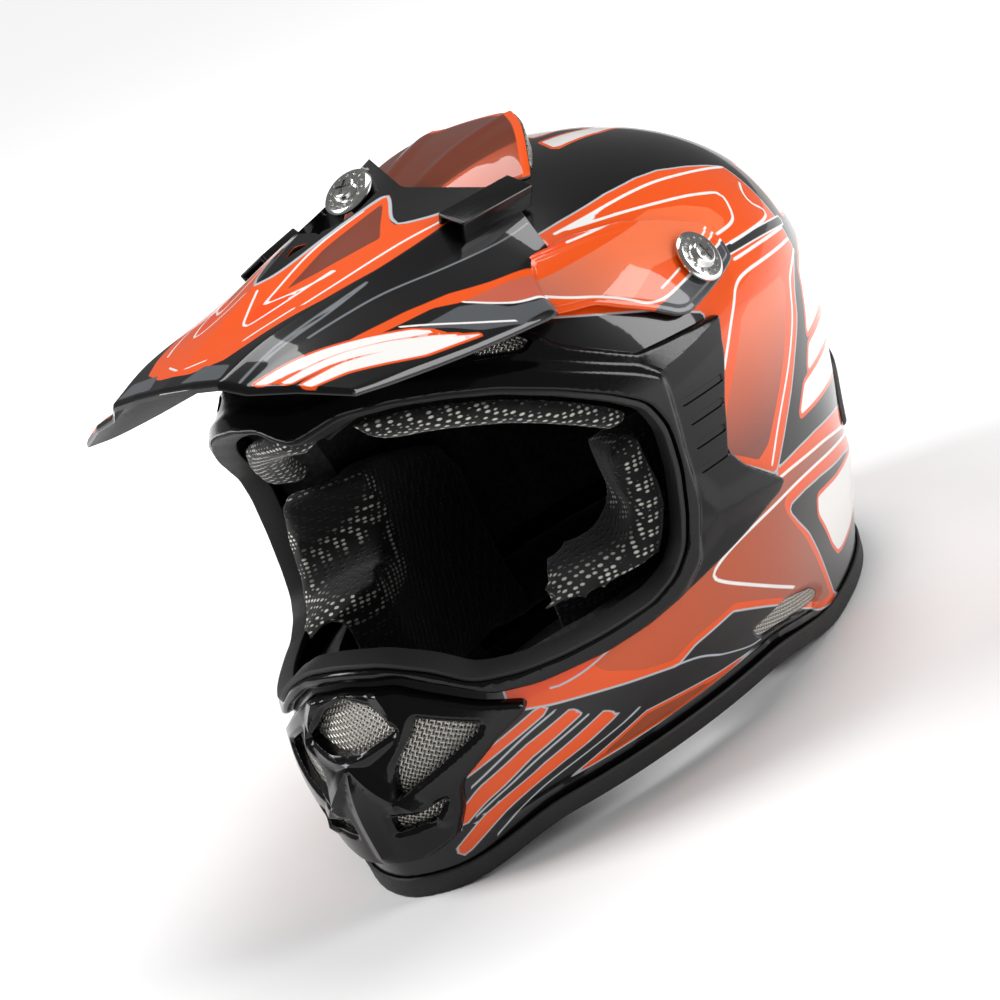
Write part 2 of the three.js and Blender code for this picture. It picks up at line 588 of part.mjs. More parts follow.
const RING_LOOP = [[56, 8.4], [50, 7.6], [46, 6.5], [43, 3], [38, 2.6], [34.6, 4.6], [35, 8.4],
  [38.6, 11.6], [43, 12.2], [45.6, 11.4], [48.4, 10.6]];
const strapLeft = band([...HANG, ...RING_LOOP], STRAP_WIDTH);
add("chin_strap_left", strapLeft, webbing);
const FOLD = [[-40, 5], [-14, 3.4], [-10.4, 4.2], [-9, 6], [-10.4, 7.8], [-14, 8.4], [-44, 9.6]];
add("chin_strap_right", band([...HANG.map(([x, z]) => [-x, z]), ...FOLD], STRAP_WIDTH), webbing);
const snapAt = { at: new THREE.Vector3(-36, STRAP_Y, 10.2), direction: new THREE.Vector3(0, 0, 1) };
add("strap_snap", rod(6, 0.3, 2.2, snapAt, 18), steel);

// A D-shaped wire ring that lies flat, its straight bar inside the webbing loop.
function dRing(bar, wire) {
  const half = STRAP_WIDTH / 2 + 3.5;
  const depth = 22;
  const corner = (x, y) => new THREE.Vector3(bar.x + x, bar.y + y, bar.z);
  const outline = [corner(0, -half), corner(0, half), corner(-8, half), corner(-16, half * 0.82),
    corner(-depth, half * 0.4), corner(-depth, -half * 0.4), corner(-16, -half * 0.82),
    corner(-8, -half)];
  const loops = outline.map((p, i) => {
    const before = outline[(i + outline.length - 1) % outline.length];
    const after = outline[(i + 1) % outline.length];
    const run = after.clone().sub(p).normalize().add(p.clone().sub(before).normalize()).normalize();
    const aside = new THREE.Vector3(-run.y, run.x, 0);
    return range(8).map((k) => {
      const angle = (k * Math.PI) / 4;
      return p.clone().addScaledVector(aside, wire * Math.cos(angle))
        .add(new THREE.Vector3(0, 0, wire * Math.sin(angle)));
    });
  });
  return loft(loops, true);
}
add("d_ring_lower", dRing(RING_BAR_LOW, 1.5), steel);
add("d_ring_upper", dRing(RING_BAR_HIGH, 1.5), steel);

export default part;
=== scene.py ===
import math

import bmesh
import bpy
import numpy as np
from mathutils import Matrix, Vector


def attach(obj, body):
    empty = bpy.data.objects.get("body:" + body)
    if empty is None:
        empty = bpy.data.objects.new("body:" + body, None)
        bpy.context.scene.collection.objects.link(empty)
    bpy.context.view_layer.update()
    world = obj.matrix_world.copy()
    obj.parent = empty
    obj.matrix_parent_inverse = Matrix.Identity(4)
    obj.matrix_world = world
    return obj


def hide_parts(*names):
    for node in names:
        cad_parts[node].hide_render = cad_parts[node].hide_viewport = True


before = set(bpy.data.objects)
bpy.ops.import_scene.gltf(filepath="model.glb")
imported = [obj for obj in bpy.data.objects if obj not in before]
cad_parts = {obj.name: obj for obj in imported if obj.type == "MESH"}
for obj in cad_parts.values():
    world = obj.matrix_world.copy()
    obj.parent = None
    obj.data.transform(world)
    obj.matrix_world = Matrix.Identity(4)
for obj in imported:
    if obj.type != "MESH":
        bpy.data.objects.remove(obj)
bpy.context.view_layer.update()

# A full-face motocross helmet. Sizes are in millimetres in the head's own frame: Z up from the
# shell's base, -Y the way the eye port faces, +X the wearer's left. lay_down turns them into the
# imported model's metres. Anything on the shell is placed by a turn round the head, 0 at the front
# and 90 at the wearer's left, and a height.
HEAD_TO_FRAME = np.array([0, 15.5, 5])
SHELL_HEIGHT = 249
EQUATOR = 140
DOME_DRIFT = 8
DOME_FROM = 195
CROWN_PULL = 3.5
DOME_POWER = {"side": 2.14, "front": 2.15, "rear": 1.98}
REAR_ROUNDNESS = 2.18
HALF_WIDTH = [[0, 99], [15, 103], [50, 112], [100, 121], [EQUATOR, 125]]
FRONT_Y = [[0, -188], [20, -192], [50, -194], [75, -185], [95, -176], [EQUATOR, -166]]
REAR_Y = [[0, 167], [20, 171], [45, 178], [65, 172], [90, 174], [EQUATOR, 177]]
MIDDLE_Y = [[0, 0], [100, 2], [EQUATOR, 6]]
FRONT_ROUNDNESS = [[0, 1.72], [60, 1.75], [EQUATOR, 1.82]]
RIM_ARCH = 10
RIM_ARCH_TOP = 30
HEAD_CENTER = np.array([0, 20, 130])
HINGE_Y = -8
HINGE_Z = 186

# Outlines on the shell as [turn, height]; the half outlines run from top middle to bottom middle.
EYE_PORT = [[0, 187], [8, 193], [16, 192], [24, 188], [32, 182], [41, 172], [50, 160],
    [56, 150], [58.5, 138], [59, 117], [58, 100], [56, 87], [52, 78], [46, 73], [36, 72],
    [29, 72.5], [23, 74], [17, 78], [12, 88], [6, 95], [0, 97]]
SURROUND = [[0, 206], [15, 205], [30, 202], [41, 195], [43, 189], [46, 184], [58, 169],
    [80, 165], [78, 150], [74, 132], [72, 112], [76, 102], [88, 83], [86, 79], [73, 74], [58, 69],
    [44, 64], [35, 64], [25, 66], [19, 70], [14, 79], [8, 88], [0, 91]]
MOUTHPIECE = [[0, 89], [7, 86], [12.5, 77], [17, 69], [22.5, 62], [22, 58], [18, 53],
    [12, 41], [11, 30], [9, 19], [5, 14], [0, 14]]
MESH_UPPER = [[9, 73], [16.5, 62], [16, 59], [5, 44], [5.5, 57], [8, 66]]
MESH_LOWER = [[3, 37], [6, 35.5], [10, 38], [8, 30], [3, 29]]
MESH_CENTER = [[0, 86], [3.6, 82], [7, 71], [2.5, 66], [0, 65], [-2.5, 66], [-7, 71], [-3.6, 82]]
BROW_VENT = [[29, 198.5], [37, 197], [40, 192], [38, 190], [29.5, 195]]
SIDE_VENT = [[70, 28], [85, 28.5], [99, 21], [104, 15], [100, 12.5], [85, 17], [72, 21]]
PEAK_EAR = [[42, 200], [47, 196], [54, 193], [65, 180], [70, 173], [73, 171.5], [84, 175],
    [93, 179], [94, 188], [92, 198], [83, 207], [73, 214], [60, 218], [44, 220]]


# ---------- the shell's surface ----------

def curve(points, at):
    """A smooth curve through points, read at one or many places."""
    xs, ys = np.array(points, float).T
    at = np.clip(np.asarray(at, float), xs[0], xs[-1])
    i = np.searchsorted(xs[1:-1], at)
    gaps = np.diff(xs)
    slopes = np.diff(ys) / gaps
    tangents = np.zeros(len(xs))
    tangents[0] = slopes[0]
    tangents[1:-1] = (slopes[:-1] * gaps[1:] + slopes[1:] * gaps[:-1]) / (gaps[1:] + gaps[:-1])
    span = gaps[i]
    u = (at - xs[i]) / span
    return ((2 * u**3 - 3 * u**2 + 1) * ys[i] + (u**3 - 2 * u**2 + u) * span * tangents[i]
            + (-2 * u**3 + 3 * u**2) * ys[i + 1] + (u**3 - u**2) * span * tangents[i + 1])


def ring_at(height, out):
    """The shell's ring at each height, out millimetres outside its face."""
    low = np.minimum(height, EQUATOR)
    rise = np.clip((height - EQUATOR) / (SHELL_HEIGHT + out - EQUATOR), 0, 1)
    shrink = {k: (1 - rise**p) ** (1 / p) for k, p in DOME_POWER.items()}
    low_middle = curve(MIDDLE_Y, low)
    return {
        "half_width": (curve(HALF_WIDTH, low) + out) * shrink["side"],
        "middle": low_middle + DOME_DRIFT * rise - CROWN_PULL * rise**8,
        "front": (low_middle - curve(FRONT_Y, low) + out) * shrink["front"],
        "rear": (curve(REAR_Y, low) + out - low_middle) * shrink["rear"],
        "front_power": curve(FRONT_ROUNDNESS, low) + 0.2 * rise,
    }


def on_shell(chart, out=0.0):
    """Points of the surface at [turn, height] pairs, lifted out millimetres."""
    chart = np.asarray(chart, float)
    turn, height = np.radians(chart[..., 0]), chart[..., 1]
    ring = ring_at(height, out)
    side, ahead = np.sin(turn), np.cos(turn)
    reach = np.maximum(np.where(ahead > 0, ring["front"], ring["rear"]), 1e-6)
    power = np.where(ahead > 0, ring["front_power"], REAR_ROUNDNESS)
    across = (np.abs(side) / np.maximum(ring["half_width"], 1e-6)) ** power
    radius = (across + (np.abs(ahead) / reach) ** power) ** (-1 / power)
    return np.stack([radius * side, ring["middle"] - radius * ahead, height], -1)


def dome_height(x, y, out=0.0):
    """Height of the dome's face over points of the plan."""
    x, y = np.broadcast_arrays(np.asarray(x, float), np.asarray(y, float))
    low = np.full(x.shape, float(EQUATOR))
    high = np.full(x.shape, SHELL_HEIGHT + out)
    for _ in range(30):
        middle = (low + high) / 2
        ring = ring_at(middle, out)
        ahead = y < ring["middle"]
        reach = np.where(ahead, ring["front"], ring["rear"])
        power = np.where(ahead, ring["front_power"], REAR_ROUNDNESS)
        size = (np.abs(x) / ring["half_width"]) ** power + (np.abs(y - ring["middle"]) / reach) ** power
        low, high = np.where(size < 1, middle, low), np.where(size < 1, high, middle)
    return low


def smooth_step(x, start, end):
    t = np.clip((x - start) / (end - start), 0, 1)
    return t * t * (3 - 2 * t)


def arch_at(turn):
    """How far the rim is lifted: it arches over each shoulder."""
    around = np.abs((np.asarray(turn, float) + 180) % 360 - 180)
    return RIM_ARCH * smooth_step(around, 6, 22) * (1 - smooth_step(around, 72, 112))


# ---------- outlines and distances ----------

def mirror(outline):
    return [[-a, b] for a, b in outline]


def both_sides(half):
    """A half outline and its mirror image as one closed outline."""
    return half + mirror(half)[::-1][1:-1]


DEGREE = 2.5  # about the millimetres that one degree of turn spans on the shell


def rounded(outline, radius, across=DEGREE):
    """A closed outline with each corner rounded off."""
    points = np.array(outline, float) * [across, 1]
    made = []
    for i, p in enumerate(points):
        for step, other in ((0, points[i - 1]), (1, points[(i + 1) % len(points)])):
            run = other - p
            share = min(radius / max(np.linalg.norm(run), 1e-6), 0.48)
            if step == 0:
                start = p + run * share
            else:
                end = p + run * share
        for t in (0, 0.25, 0.5, 0.75, 1):
            made.append((1 - t) ** 2 * start + 2 * t * (1 - t) * p + t * t * end)
    return np.array(made) / [across, 1]


def stepped(points, step, closed, across=DEGREE):
    """A line divided into pieces no longer than step."""
    points = np.array(points, float)
    ends = np.roll(points, -1, 0) if closed else points[1:]
    made = []
    for a, b in zip(points, ends):
        count = max(1, int(np.ceil(np.linalg.norm((b - a) * [across, 1]) / step)))
        made += [a + (b - a) * k / count for k in range(count)]
    if not closed:
        made.append(points[-1])
    return np.array(made)


def smoothed(points, rounds=3):
    """An open line with its corners cut off several times over."""
    points = np.array(points, float)
    for _ in range(rounds):
        a, b = points[:-1], points[1:]
        inner = np.stack([a * 0.75 + b * 0.25, a * 0.25 + b * 0.75], 1).reshape(-1, 2)
        points = np.vstack([points[:1], inner[1:-1], points[-1:]])
    return points


FAR = 40.0  # beyond this many millimetres a distance is only "far"


def distance(line, closed, chart, places, lay, across=DEGREE):
    """Millimetres along the surface from each place to a line drawn on the same chart."""
    line = stepped(line, 5.0, closed, across)
    knots = lay(np.vstack([line, line[:1]]) if closed else line)
    low = line.min(0) - [FAR / across, FAR]
    high = line.max(0) + [FAR / across, FAR]
    near = np.where(((chart > low) & (chart < high)).all(1))[0]
    best = np.full(len(near), FAR**2)
    here = places[near]
    for a, b in zip(knots[:-1], knots[1:]):
        run = b - a
        t = np.clip((here - a) @ run / max(run @ run, 1e-9), 0, 1)
        gap = here - a - t[:, None] * run
        best = np.minimum(best, np.einsum("ij,ij->i", gap, gap))
    found = np.full(len(chart), FAR)
    found[near] = np.sqrt(best)
    return found


def inside(outline, chart):
    x, y = chart[:, 0], chart[:, 1]
    found = np.zeros(len(chart), bool)
    for (x0, y0), (x1, y1) in zip(outline, np.roll(outline, -1, 0)):
        if y0 != y1:
            found ^= ((y0 > y) != (y1 > y)) & (x < (x1 - x0) * (y - y0) / (y1 - y0) + x0)
    return found


def signed(outline, chart, places, lay, across=DEGREE):
    """Distance to a closed outline, positive inside it."""
    outline = np.array(outline, float)
    gap = distance(outline, True, chart, places, lay, across)
    return np.where(inside(outline, chart), gap, -gap)


class Sheet:
    """A patch of surface as polygons on a chart, which can be cut along the level lines of a field."""

    def __init__(self, across, up, lay, unit=DEGREE):
        grid = np.stack(np.meshgrid(across, up), -1)
        rows, columns = grid.shape[:2]
        self.chart = grid.reshape(-1, 2)
        self.lay = lay
        self.unit = unit
        corner = (np.arange(rows - 1)[:, None] * columns + np.arange(columns - 1)).reshape(-1)
        self.faces = np.stack([corner, corner + 1, corner + columns + 1, corner + columns], 1).tolist()

    def places(self):
        return self.lay(self.chart)

    def signed(self, outline):
        return signed(outline, self.chart, self.places(), self.lay, self.unit)

    def cut(self, values, level=0.0, keep=None, reach=None):
        """Cuts along values == level, and keeps both sides, or the side above or below it. With a
        reach, only faces whose values are all within it are cut."""
        values = list(values - level)
        points = list(self.chart)
        made = {}
        faces = []

        def crossing(a, b):
            key = (min(a, b), max(a, b))
            if key not in made:
                share = values[key[0]] / (values[key[0]] - values[key[1]])
                points.append(points[key[0]] * (1 - share) + points[key[1]] * share)
                values.append(0.0)
                made[key] = len(points) - 1
            return made[key]

        whole = []
        for face in self.faces:
            signs = [values[k] for k in face]
            low, high = min(signs), max(signs)
            if low >= 0 or high <= 0 or (reach and (high > reach or low < -reach)):
                side = 1 if high > 0 else -1
                if keep is None or side == keep:
                    whole.append(face)
                continue
            above, below = [], []
            for k, after in zip(face, face[1:] + face[:1]):
                if values[k] >= 0:
                    above.append(k)
                if values[k] <= 0:
                    below.append(k)
                if values[k] * values[after] < 0:
                    middle = crossing(k, after)
                    above.append(middle)
                    below.append(middle)
            for side, part in ((1, above), (-1, below)):
                if len(part) > 2 and (keep is None or side == keep):
                    faces.append(part)
        # A whole face beside a cut one takes the new points on its edges, so that they still meet.
        for face in whole:
            joined = []
            for k, after in zip(face, face[1:] + face[:1]):
                joined.append(k)
                key = (min(k, after), max(k, after))
                if key in made:
                    joined.append(made[key])
            faces.append(joined)
        self.chart = np.array(points)
        self.faces = faces
        self.tidy()

    def score(self, line, chart=None, lay=None, across=None):
        """Cuts along a thin line, so that distances from it are exact on both sides of it."""
        line = stepped(smoothed(line), 5.0, False, across or self.unit)
        chart = np.abs(self.chart * [1, 0]) + self.chart * [0, 1] if chart is None else chart
        lay = lay or self.lay
        gap = distance(line, False, chart, lay(chart), lay, across or self.unit)
        near = np.where(gap < 12)[0]
        best = np.full(len(near), np.inf)
        side = np.ones(len(near))
        scale = np.array([across or self.unit, 1.0])
        here = chart[near] * scale
        for a, b in zip(line[:-1] * scale, line[1:] * scale):
            run = b - a
            t = np.clip((here - a) @ run / max(run @ run, 1e-9), 0, 1)
            off = here - a - t[:, None] * run
            size = np.einsum("ij,ij->i", off, off)
            nearer = size < best
            turn = run[0] * (here - a)[:, 1] - run[1] * (here - a)[:, 0]
            side[nearer] = np.sign(turn[nearer])
            best[nearer] = size[nearer]
        values = np.full(len(chart), FAR)
        values[near] = gap[near] * side
        self.cut(values, 0, None, 6.0)

    def tidy(self):
        """Joins the seam at the back and the pole, and drops points that no face uses."""
        key = np.round(self.chart, 5)
        if self.lay is on_shell:
            key[key[:, 0] >= 180, 0] -= 360
            key[key[:, 1] >= SHELL_HEIGHT - 1e-3, 0] = 0
        _, first, where = np.unique(key, axis=0, return_index=True, return_inverse=True)
        where = where.reshape(-1)
        faces = []
        for face in self.faces:
            joined = [where[k] for k in face]
            joined = [k for i, k in enumerate(joined) if k != joined[i - 1]]
            if len(joined) > 2:
                faces.append(joined)
        used = np.unique(np.concatenate([np.array(f) for f in faces]))
        place = np.full(len(first), -1)
        place[used] = np.arange(len(used))
        self.chart = self.chart[first[used]]
        self.faces = [[int(place[k]) for k in face] for face in faces]

    def solid(self, outer, inner):
        """Vertices and faces of the plate between two lifts, given per point or as one number."""
        count = len(self.chart)
        # The seam's two columns share one point, so its own turn is used throughout.
        points = np.vstack([self.lay(self.chart, outer), self.lay(self.chart, inner)])
        edges = set()
        for face in self.faces:
            edges.update(zip(face, face[1:] + face[:1]))
        faces = [list(f) for f in self.faces]
        faces += [[k + count for k in reversed(f)] for f in self.faces]
        faces += [[b, a, a + count, b + count] for a, b in edges if (b, a) not in edges]
        return points, faces


# ---------- pieces ----------

def lay_down(points):
    """Head millimetres to the frame's metres."""
    return (np.asarray(points, float) + HEAD_TO_FRAME) * 0.001


def make_mesh(name, points, faces, fields=None, sharp=35, turned=False):
    mesh = bpy.data.meshes.new(name)
    mesh.from_pydata(lay_down(points).tolist(), [], [list(map(int, f)) for f in faces])
    for field, values in (fields or {}).items():
        kind = "FLOAT_VECTOR" if np.ndim(values) == 2 else "FLOAT"
        made = mesh.attributes.new(field, kind, "POINT")
        made.data.foreach_set("vector" if kind == "FLOAT_VECTOR" else "value",
                              np.ascontiguousarray(values, np.float32).reshape(-1))
    mesh.validate()
    work = bmesh.new()
    work.from_mesh(mesh)
    bmesh.ops.remove_doubles(work, verts=work.verts, dist=1e-6)
    bmesh.ops.dissolve_degenerate(work, dist=1e-6, edges=work.edges)
    if turned:
        bmesh.ops.reverse_faces(work, faces=work.faces)
    else:
        bmesh.ops.recalc_face_normals(work, faces=work.faces)
    work.to_mesh(mesh)
    work.free()
    mesh.polygons.foreach_set("use_smooth", [True] * len(mesh.polygons))
    if sharp:
        mesh.set_sharp_from_angle(angle=math.radians(sharp))
    return mesh


def piece(name, mesh, body, material, replaced=()):
    made = bpy.data.objects.new(name, mesh)
    bpy.context.scene.collection.objects.link(made)
    mesh.materials.clear()
    mesh.materials.append(material)
    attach(made, body)
    if replaced:
        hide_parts(*replaced)
    return made


def add_modifier(made, kind, **settings):
    step = made.modifiers.new(kind.lower(), kind)
    for key, value in settings.items():
        setattr(step, key, value)
    return step


def loft(loops, closed=False, capped=True):
    """Points and faces of a skin over equal loops."""
    loops = [np.asarray(loop, float) for loop in loops]
    size = len(loops[0])
    points = np.vstack(loops)
    faces = []
    for i in range(len(loops) if closed else len(loops) - 1):
        here, after = i * size, ((i + 1) % len(loops)) * size
        faces += [[here + j, here + (j + 1) % size, after + (j + 1) % size, after + j]
                  for j in range(size)]
    if capped and not closed:
        faces.append(list(range(size))[::-1])
        faces.append([len(points) - size + j for j in range(size)])
    return points, faces


def frames_along(outline, closed=True):
    """For each point of an outline: its place, the way out, and the way into the opening."""
    rim = on_shell(outline)
    middle = rim.mean(0)
    before, after = np.roll(rim, 1, 0), np.roll(rim, -1, 0)
    if not closed:
        before[0], after[-1] = rim[0], rim[-1]
    outward = rim - HEAD_CENTER
    outward /= np.linalg.norm(outward, axis=1)[:, None]
    inward = np.cross(outward, after - before)
    inward /= np.linalg.norm(inward, axis=1)[:, None]
    flip = np.einsum("ij,ij->i", inward, middle - rim) < 0
    inward[flip] *= -1
    return rim, outward, inward


def sweep(outline, section, closed=True):
    """A bar swept along an outline on the shell; its section is in [inward, outward]."""
    rim, outward, inward = frames_along(outline, closed)
    loops = [p + np.outer([q for q, s in section], w) + np.outer([s for q, s in section], o)
             for p, o, w in zip(rim, outward, inward)]
    return loft(loops, closed)


def round_section(corners, radius, steps=4):
    """A closed section with rounded corners."""
    points = np.array(corners, float)
    made = []
    for i, p in enumerate(points):
        a, b = points[i - 1] - p, points[(i + 1) % len(points)] - p
        start = p + a * min(radius / np.linalg.norm(a), 0.48)
        end = p + b * min(radius / np.linalg.norm(b), 0.48)
        for t in np.linspace(0, 1, steps):
            made.append((1 - t) ** 2 * start + 2 * t * (1 - t) * p + t * t * end)
    return made


# ---------- materials ----------

def linear(colour):
    """An sRGB hex colour as linear red, green, blue and alpha."""
    values = [int(colour[i:i + 2], 16) / 255 for i in (1, 3, 5)]
    return (*[v / 12.92 if v <= 0.04045 else ((v + 0.055) / 1.055) ** 2.4 for v in values], 1)


def fill(tree, socket, value):
    """Sets a socket: value is a number, an sRGB hex colour, a node or one of a node's outputs."""
    if isinstance(value, bpy.types.Node):
        value = value.outputs[0]
    if isinstance(value, bpy.types.NodeSocket):
        tree.links.new(value, socket)
    else:
        socket.default_value = linear(value) if isinstance(value, str) else value


def node(tree, kind, settings=None, **inputs):
    """Adds a shader node. Its inputs are named, with _ for a space, or numbered as i0, i1."""
    made = tree.nodes.new("ShaderNode" + kind)
    for key, value in (settings or {}).items():
        setattr(made, key, value)
    for key, value in inputs.items():
        numbered = key[0] == "i" and key[1:].isdigit()
        fill(tree, made.inputs[int(key[1:]) if numbered else key.replace("_", " ")], value)
    return made


def surface(name, **shader):
    """A material with one Principled shader, and its tree."""
    material = bpy.data.materials.new(name)
    material.use_nodes = True
    tree = material.node_tree
    bsdf = tree.nodes["Principled BSDF"]
    for key, value in shader.items():
        fill(tree, bsdf.inputs[key.replace("_", " ")], value)
    return material, tree, bsdf


MM = 1000.0  # object coordinates are metres, and pattern scales are per millimetre


def where(tree, scale=(1, 1, 1), turn=(0, 0, 0)):
    """Object coordinates in millimetres, turned and scaled."""
    coordinates = node(tree, "TexCoord")
    return node(tree, "Mapping", Vector=coordinates.outputs["Object"],
                Scale=tuple(MM * s for s in scale), Rotation=turn).outputs[0]


BLEND = {"data_type": "RGBA"}  # a Mix node of colours: i0 factor, i6 and i7 colours, output 2
EDGE = 0.22  # millimetres over which one printed colour meets the next


def lacquered(name, base, layers):
    """ABS under water-slide graphics and a thick clear lacquer: a deep, wet gloss over flat colour,
    with the faint ripple of sprayed lacquer. A layer is (field, from, colour): the colour shows
    where the field, in millimetres inside an outline, is over from."""
    material, tree, bsdf = surface(name, Roughness=0.3, Specular_IOR_Level=0.12, Coat_Weight=0.65,
                                   Coat_Roughness=0.03)
    place = where(tree)
    colour = base
    for field_name, start, paint in layers:
        reached = node(tree, "MapRange", Value=node(tree, "Attribute",
                {"attribute_name": field_name}).outputs["Fac"], From_Min=start - EDGE,
                From_Max=start + EDGE)
        shade = paint(tree, place) if callable(paint) else paint
        colour = node(tree, "Mix", BLEND, i0=reached, i6=colour, i7=shade).outputs[2]
    fill(tree, bsdf.inputs["Base Color"], colour)
    ripple = node(tree, "TexNoise", Vector=place, Scale=0.22, Detail=1.0)
    fill(tree, bsdf.inputs["Coat Normal"], node(tree, "Bump", Height=ripple, Strength=0.05,
            Distance=0.25 / MM))
    return material


def fade(start, end, a, b, axis=2):
    """Two colours that fade into each other along an axis, between two places in millimetres."""
    def paint(tree, place):
        apart = node(tree, "SeparateXYZ", None, Vector=place)
        return node(tree, "Mix", BLEND, i0=node(tree, "MapRange", Value=apart.outputs[axis],
                From_Min=start, From_Max=end), i6=a, i7=b).outputs[2]
    return paint


# Injection-moulded ABS with a polished tool: black, wet-looking, slightly wavy.
moulded_abs, tree, bsdf = surface("gloss_moulded_abs", Base_Color=linear("#09090a"),
                                  Specular_IOR_Level=0.3)
place = where(tree)
fill(tree, bsdf.inputs["Normal"], node(tree, "Bump", Height=node(tree, "TexNoise", Vector=place,
        Scale=0.12, Detail=2.0), Strength=0.08, Distance=0.3 / MM))
fill(tree, bsdf.inputs["Roughness"], node(tree, "MapRange", Value=node(tree, "TexNoise", Vector=place,
        Scale=0.9, Detail=3.0), From_Min=0.3, From_Max=0.7, To_Min=0.12, To_Max=0.22))

# Spark-eroded ABS: a fine even grain that breaks up the shine.
textured_abs, tree, bsdf = surface("satin_textured_abs", Base_Color=linear("#161617"))
place = where(tree)
grain = node(tree, "TexNoise", Vector=place, Scale=2.2, Detail=3.0)
fill(tree, bsdf.inputs["Normal"], node(tree, "Bump", Height=grain, Strength=0.35, Distance=0.12 / MM))
fill(tree, bsdf.inputs["Roughness"], node(tree, "MapRange", Value=grain, From_Min=0.3, From_Max=0.7,
        To_Min=0.38, To_Max=0.55))

# Extruded EPDM rubber: dull black with faint drag lines and a little bloom.
extruded_rubber, tree, bsdf = surface("extruded_epdm_rubber")
place = where(tree)
bloom = node(tree, "TexNoise", Vector=place, Scale=0.08, Detail=4.0)
fill(tree, bsdf.inputs["Base Color"], node(tree, "Mix", BLEND, i0=bloom, i6="#0d0d0d",
        i7="#1d1c1b").outputs[2])
fill(tree, bsdf.inputs["Roughness"], node(tree, "MapRange", Value=node(tree, "TexNoise", Vector=place,
        Scale=1.6, Detail=4.0), From_Min=0.3, From_Max=0.7, To_Min=0.5, To_Max=0.72))
drag = node(tree, "TexNoise", Vector=where(tree, (0.05, 0.05, 2.4)), Scale=1.0, Detail=2.0)
fill(tree, bsdf.inputs["Normal"], node(tree, "Bump", Height=drag, Strength=0.3, Distance=0.1 / MM))


def weave(tree, place, pitch):
    """Over and under of a plain weave in the plane of X and Y: height and gap, 0 to 1."""
    apart = node(tree, "SeparateXYZ", None, Vector=place)
    waves = []
    for axis in (0, 1):
        turned = node(tree, "Math", {"operation": "MULTIPLY"}, i0=apart.outputs[axis],
                i1=math.pi / pitch)
        waves.append((node(tree, "Math", {"operation": "SINE"}, i0=turned), node(tree, "Math",
                {"operation": "COSINE"}, i0=turned)))
    over = node(tree, "Math", {"operation": "MULTIPLY"}, i0=waves[0][1], i1=waves[1][1])
    wires = [node(tree, "Math", {"operation": "ABSOLUTE"}, i0=w[0]) for w in waves]
    checker = node(tree, "MapRange", Value=over, From_Min=-0.15, From_Max=0.15)
    height = node(tree, "Math", {"operation": "ADD"}, i0=node(tree, "Math", {"operation": "MULTIPLY"},
            i0=checker, i1=wires[0]), i1=node(tree, "Math", {"operation": "MULTIPLY"}, i0=node(tree,
            "Math", {"operation": "SUBTRACT"}, i0=1.0, i1=checker), i1=wires[1]))
    gap = node(tree, "Math", {"operation": "MAXIMUM"}, i0=wires[0], i1=wires[1])
    return height, gap


WIRE_PITCH = 1.5  # real mesh is 0.8 mm, drawn coarser so that it shows

# Woven aluminium wire: bright wires over dark holes.
woven_wire, tree, bsdf = surface("woven_aluminium_wire", Metallic=0.9, Roughness=0.38)
wire_place = node(tree, "Attribute", {"attribute_name": "weave"}).outputs["Vector"]
height, gap = weave(tree, wire_place, WIRE_PITCH)
fill(tree, bsdf.inputs["Base Color"], node(tree, "Mix", BLEND, i0=node(tree, "MapRange", Value=gap,
        From_Min=0.45, From_Max=0.62), i6="#0a0a0a", i7="#bab7b0").outputs[2])
fill(tree, bsdf.inputs["Normal"], node(tree, "Bump", Height=height, Strength=0.9, Distance=0.5 / MM))

# Turned and polished aluminium: bright, with fine turning rings.
turned_aluminium, tree, bsdf = surface("turned_polished_aluminium", Base_Color=linear("#dcdcda"),
                                       Metallic=1.0)
place = where(tree)
fill(tree, bsdf.inputs["Roughness"], node(tree, "MapRange", Value=node(tree, "TexNoise", Vector=place,
        Scale=0.6, Detail=5.0), From_Min=0.3, From_Max=0.75, To_Min=0.1, To_Max=0.26))
fill(tree, bsdf.inputs["Normal"], node(tree, "Bump", Height=node(tree, "TexNoise", Vector=place,
        Scale=3.0, Detail=3.0), Strength=0.12, Distance=0.05 / MM))

# Nickel-plated steel: warm bright metal with light scuffs.
plated_steel, tree, bsdf = surface("nickel_plated_steel", Base_Color=linear("#b9b6ae"), Metallic=1.0)
place = where(tree)
fill(tree, bsdf.inputs["Roughness"], node(tree, "MapRange", Value=node(tree, "TexNoise", Vector=place,
        Scale=0.8, Detail=6.0), From_Min=0.35, From_Max=0.75, To_Min=0.14, To_Max=0.34))
fill(tree, bsdf.inputs["Normal"], node(tree, "Bump", Height=node(tree, "TexNoise", Vector=place,
        Scale=1.5, Detail=4.0), Strength=0.15, Distance=0.05 / MM))

# Turned brass: yellow metal, slightly tarnished.
turned_brass, tree, bsdf = surface("turned_brass", Metallic=1.0, Roughness=0.32)
place = where(tree)
fill(tree, bsdf.inputs["Base Color"], node(tree, "Mix", BLEND, i0=node(tree, "TexNoise", Vector=place,
        Scale=0.5, Detail=4.0), i6="#b0883f", i7="#8a6a34").outputs[2])

# Moulded expanded polystyrene: fused beads about 3 mm across, dull dark grey.
bead_foam, tree, bsdf = surface("moulded_expanded_polystyrene", Roughness=0.85)
place = where(tree)
beads = node(tree, "TexVoronoi", None, Vector=place, Scale=0.33)
fill(tree, bsdf.inputs["Base Color"], node(tree, "Mix", BLEND, i0=node(tree, "MapRange",
        Value=beads.outputs["Distance"], From_Min=0.0, From_Max=0.7), i6="#3b3b3d",
        i7="#242426").outputs[2])
fill(tree, bsdf.inputs["Normal"], node(tree, "Bump", Height=beads.outputs["Distance"], Strength=0.6,
        Distance=-0.4 / MM))


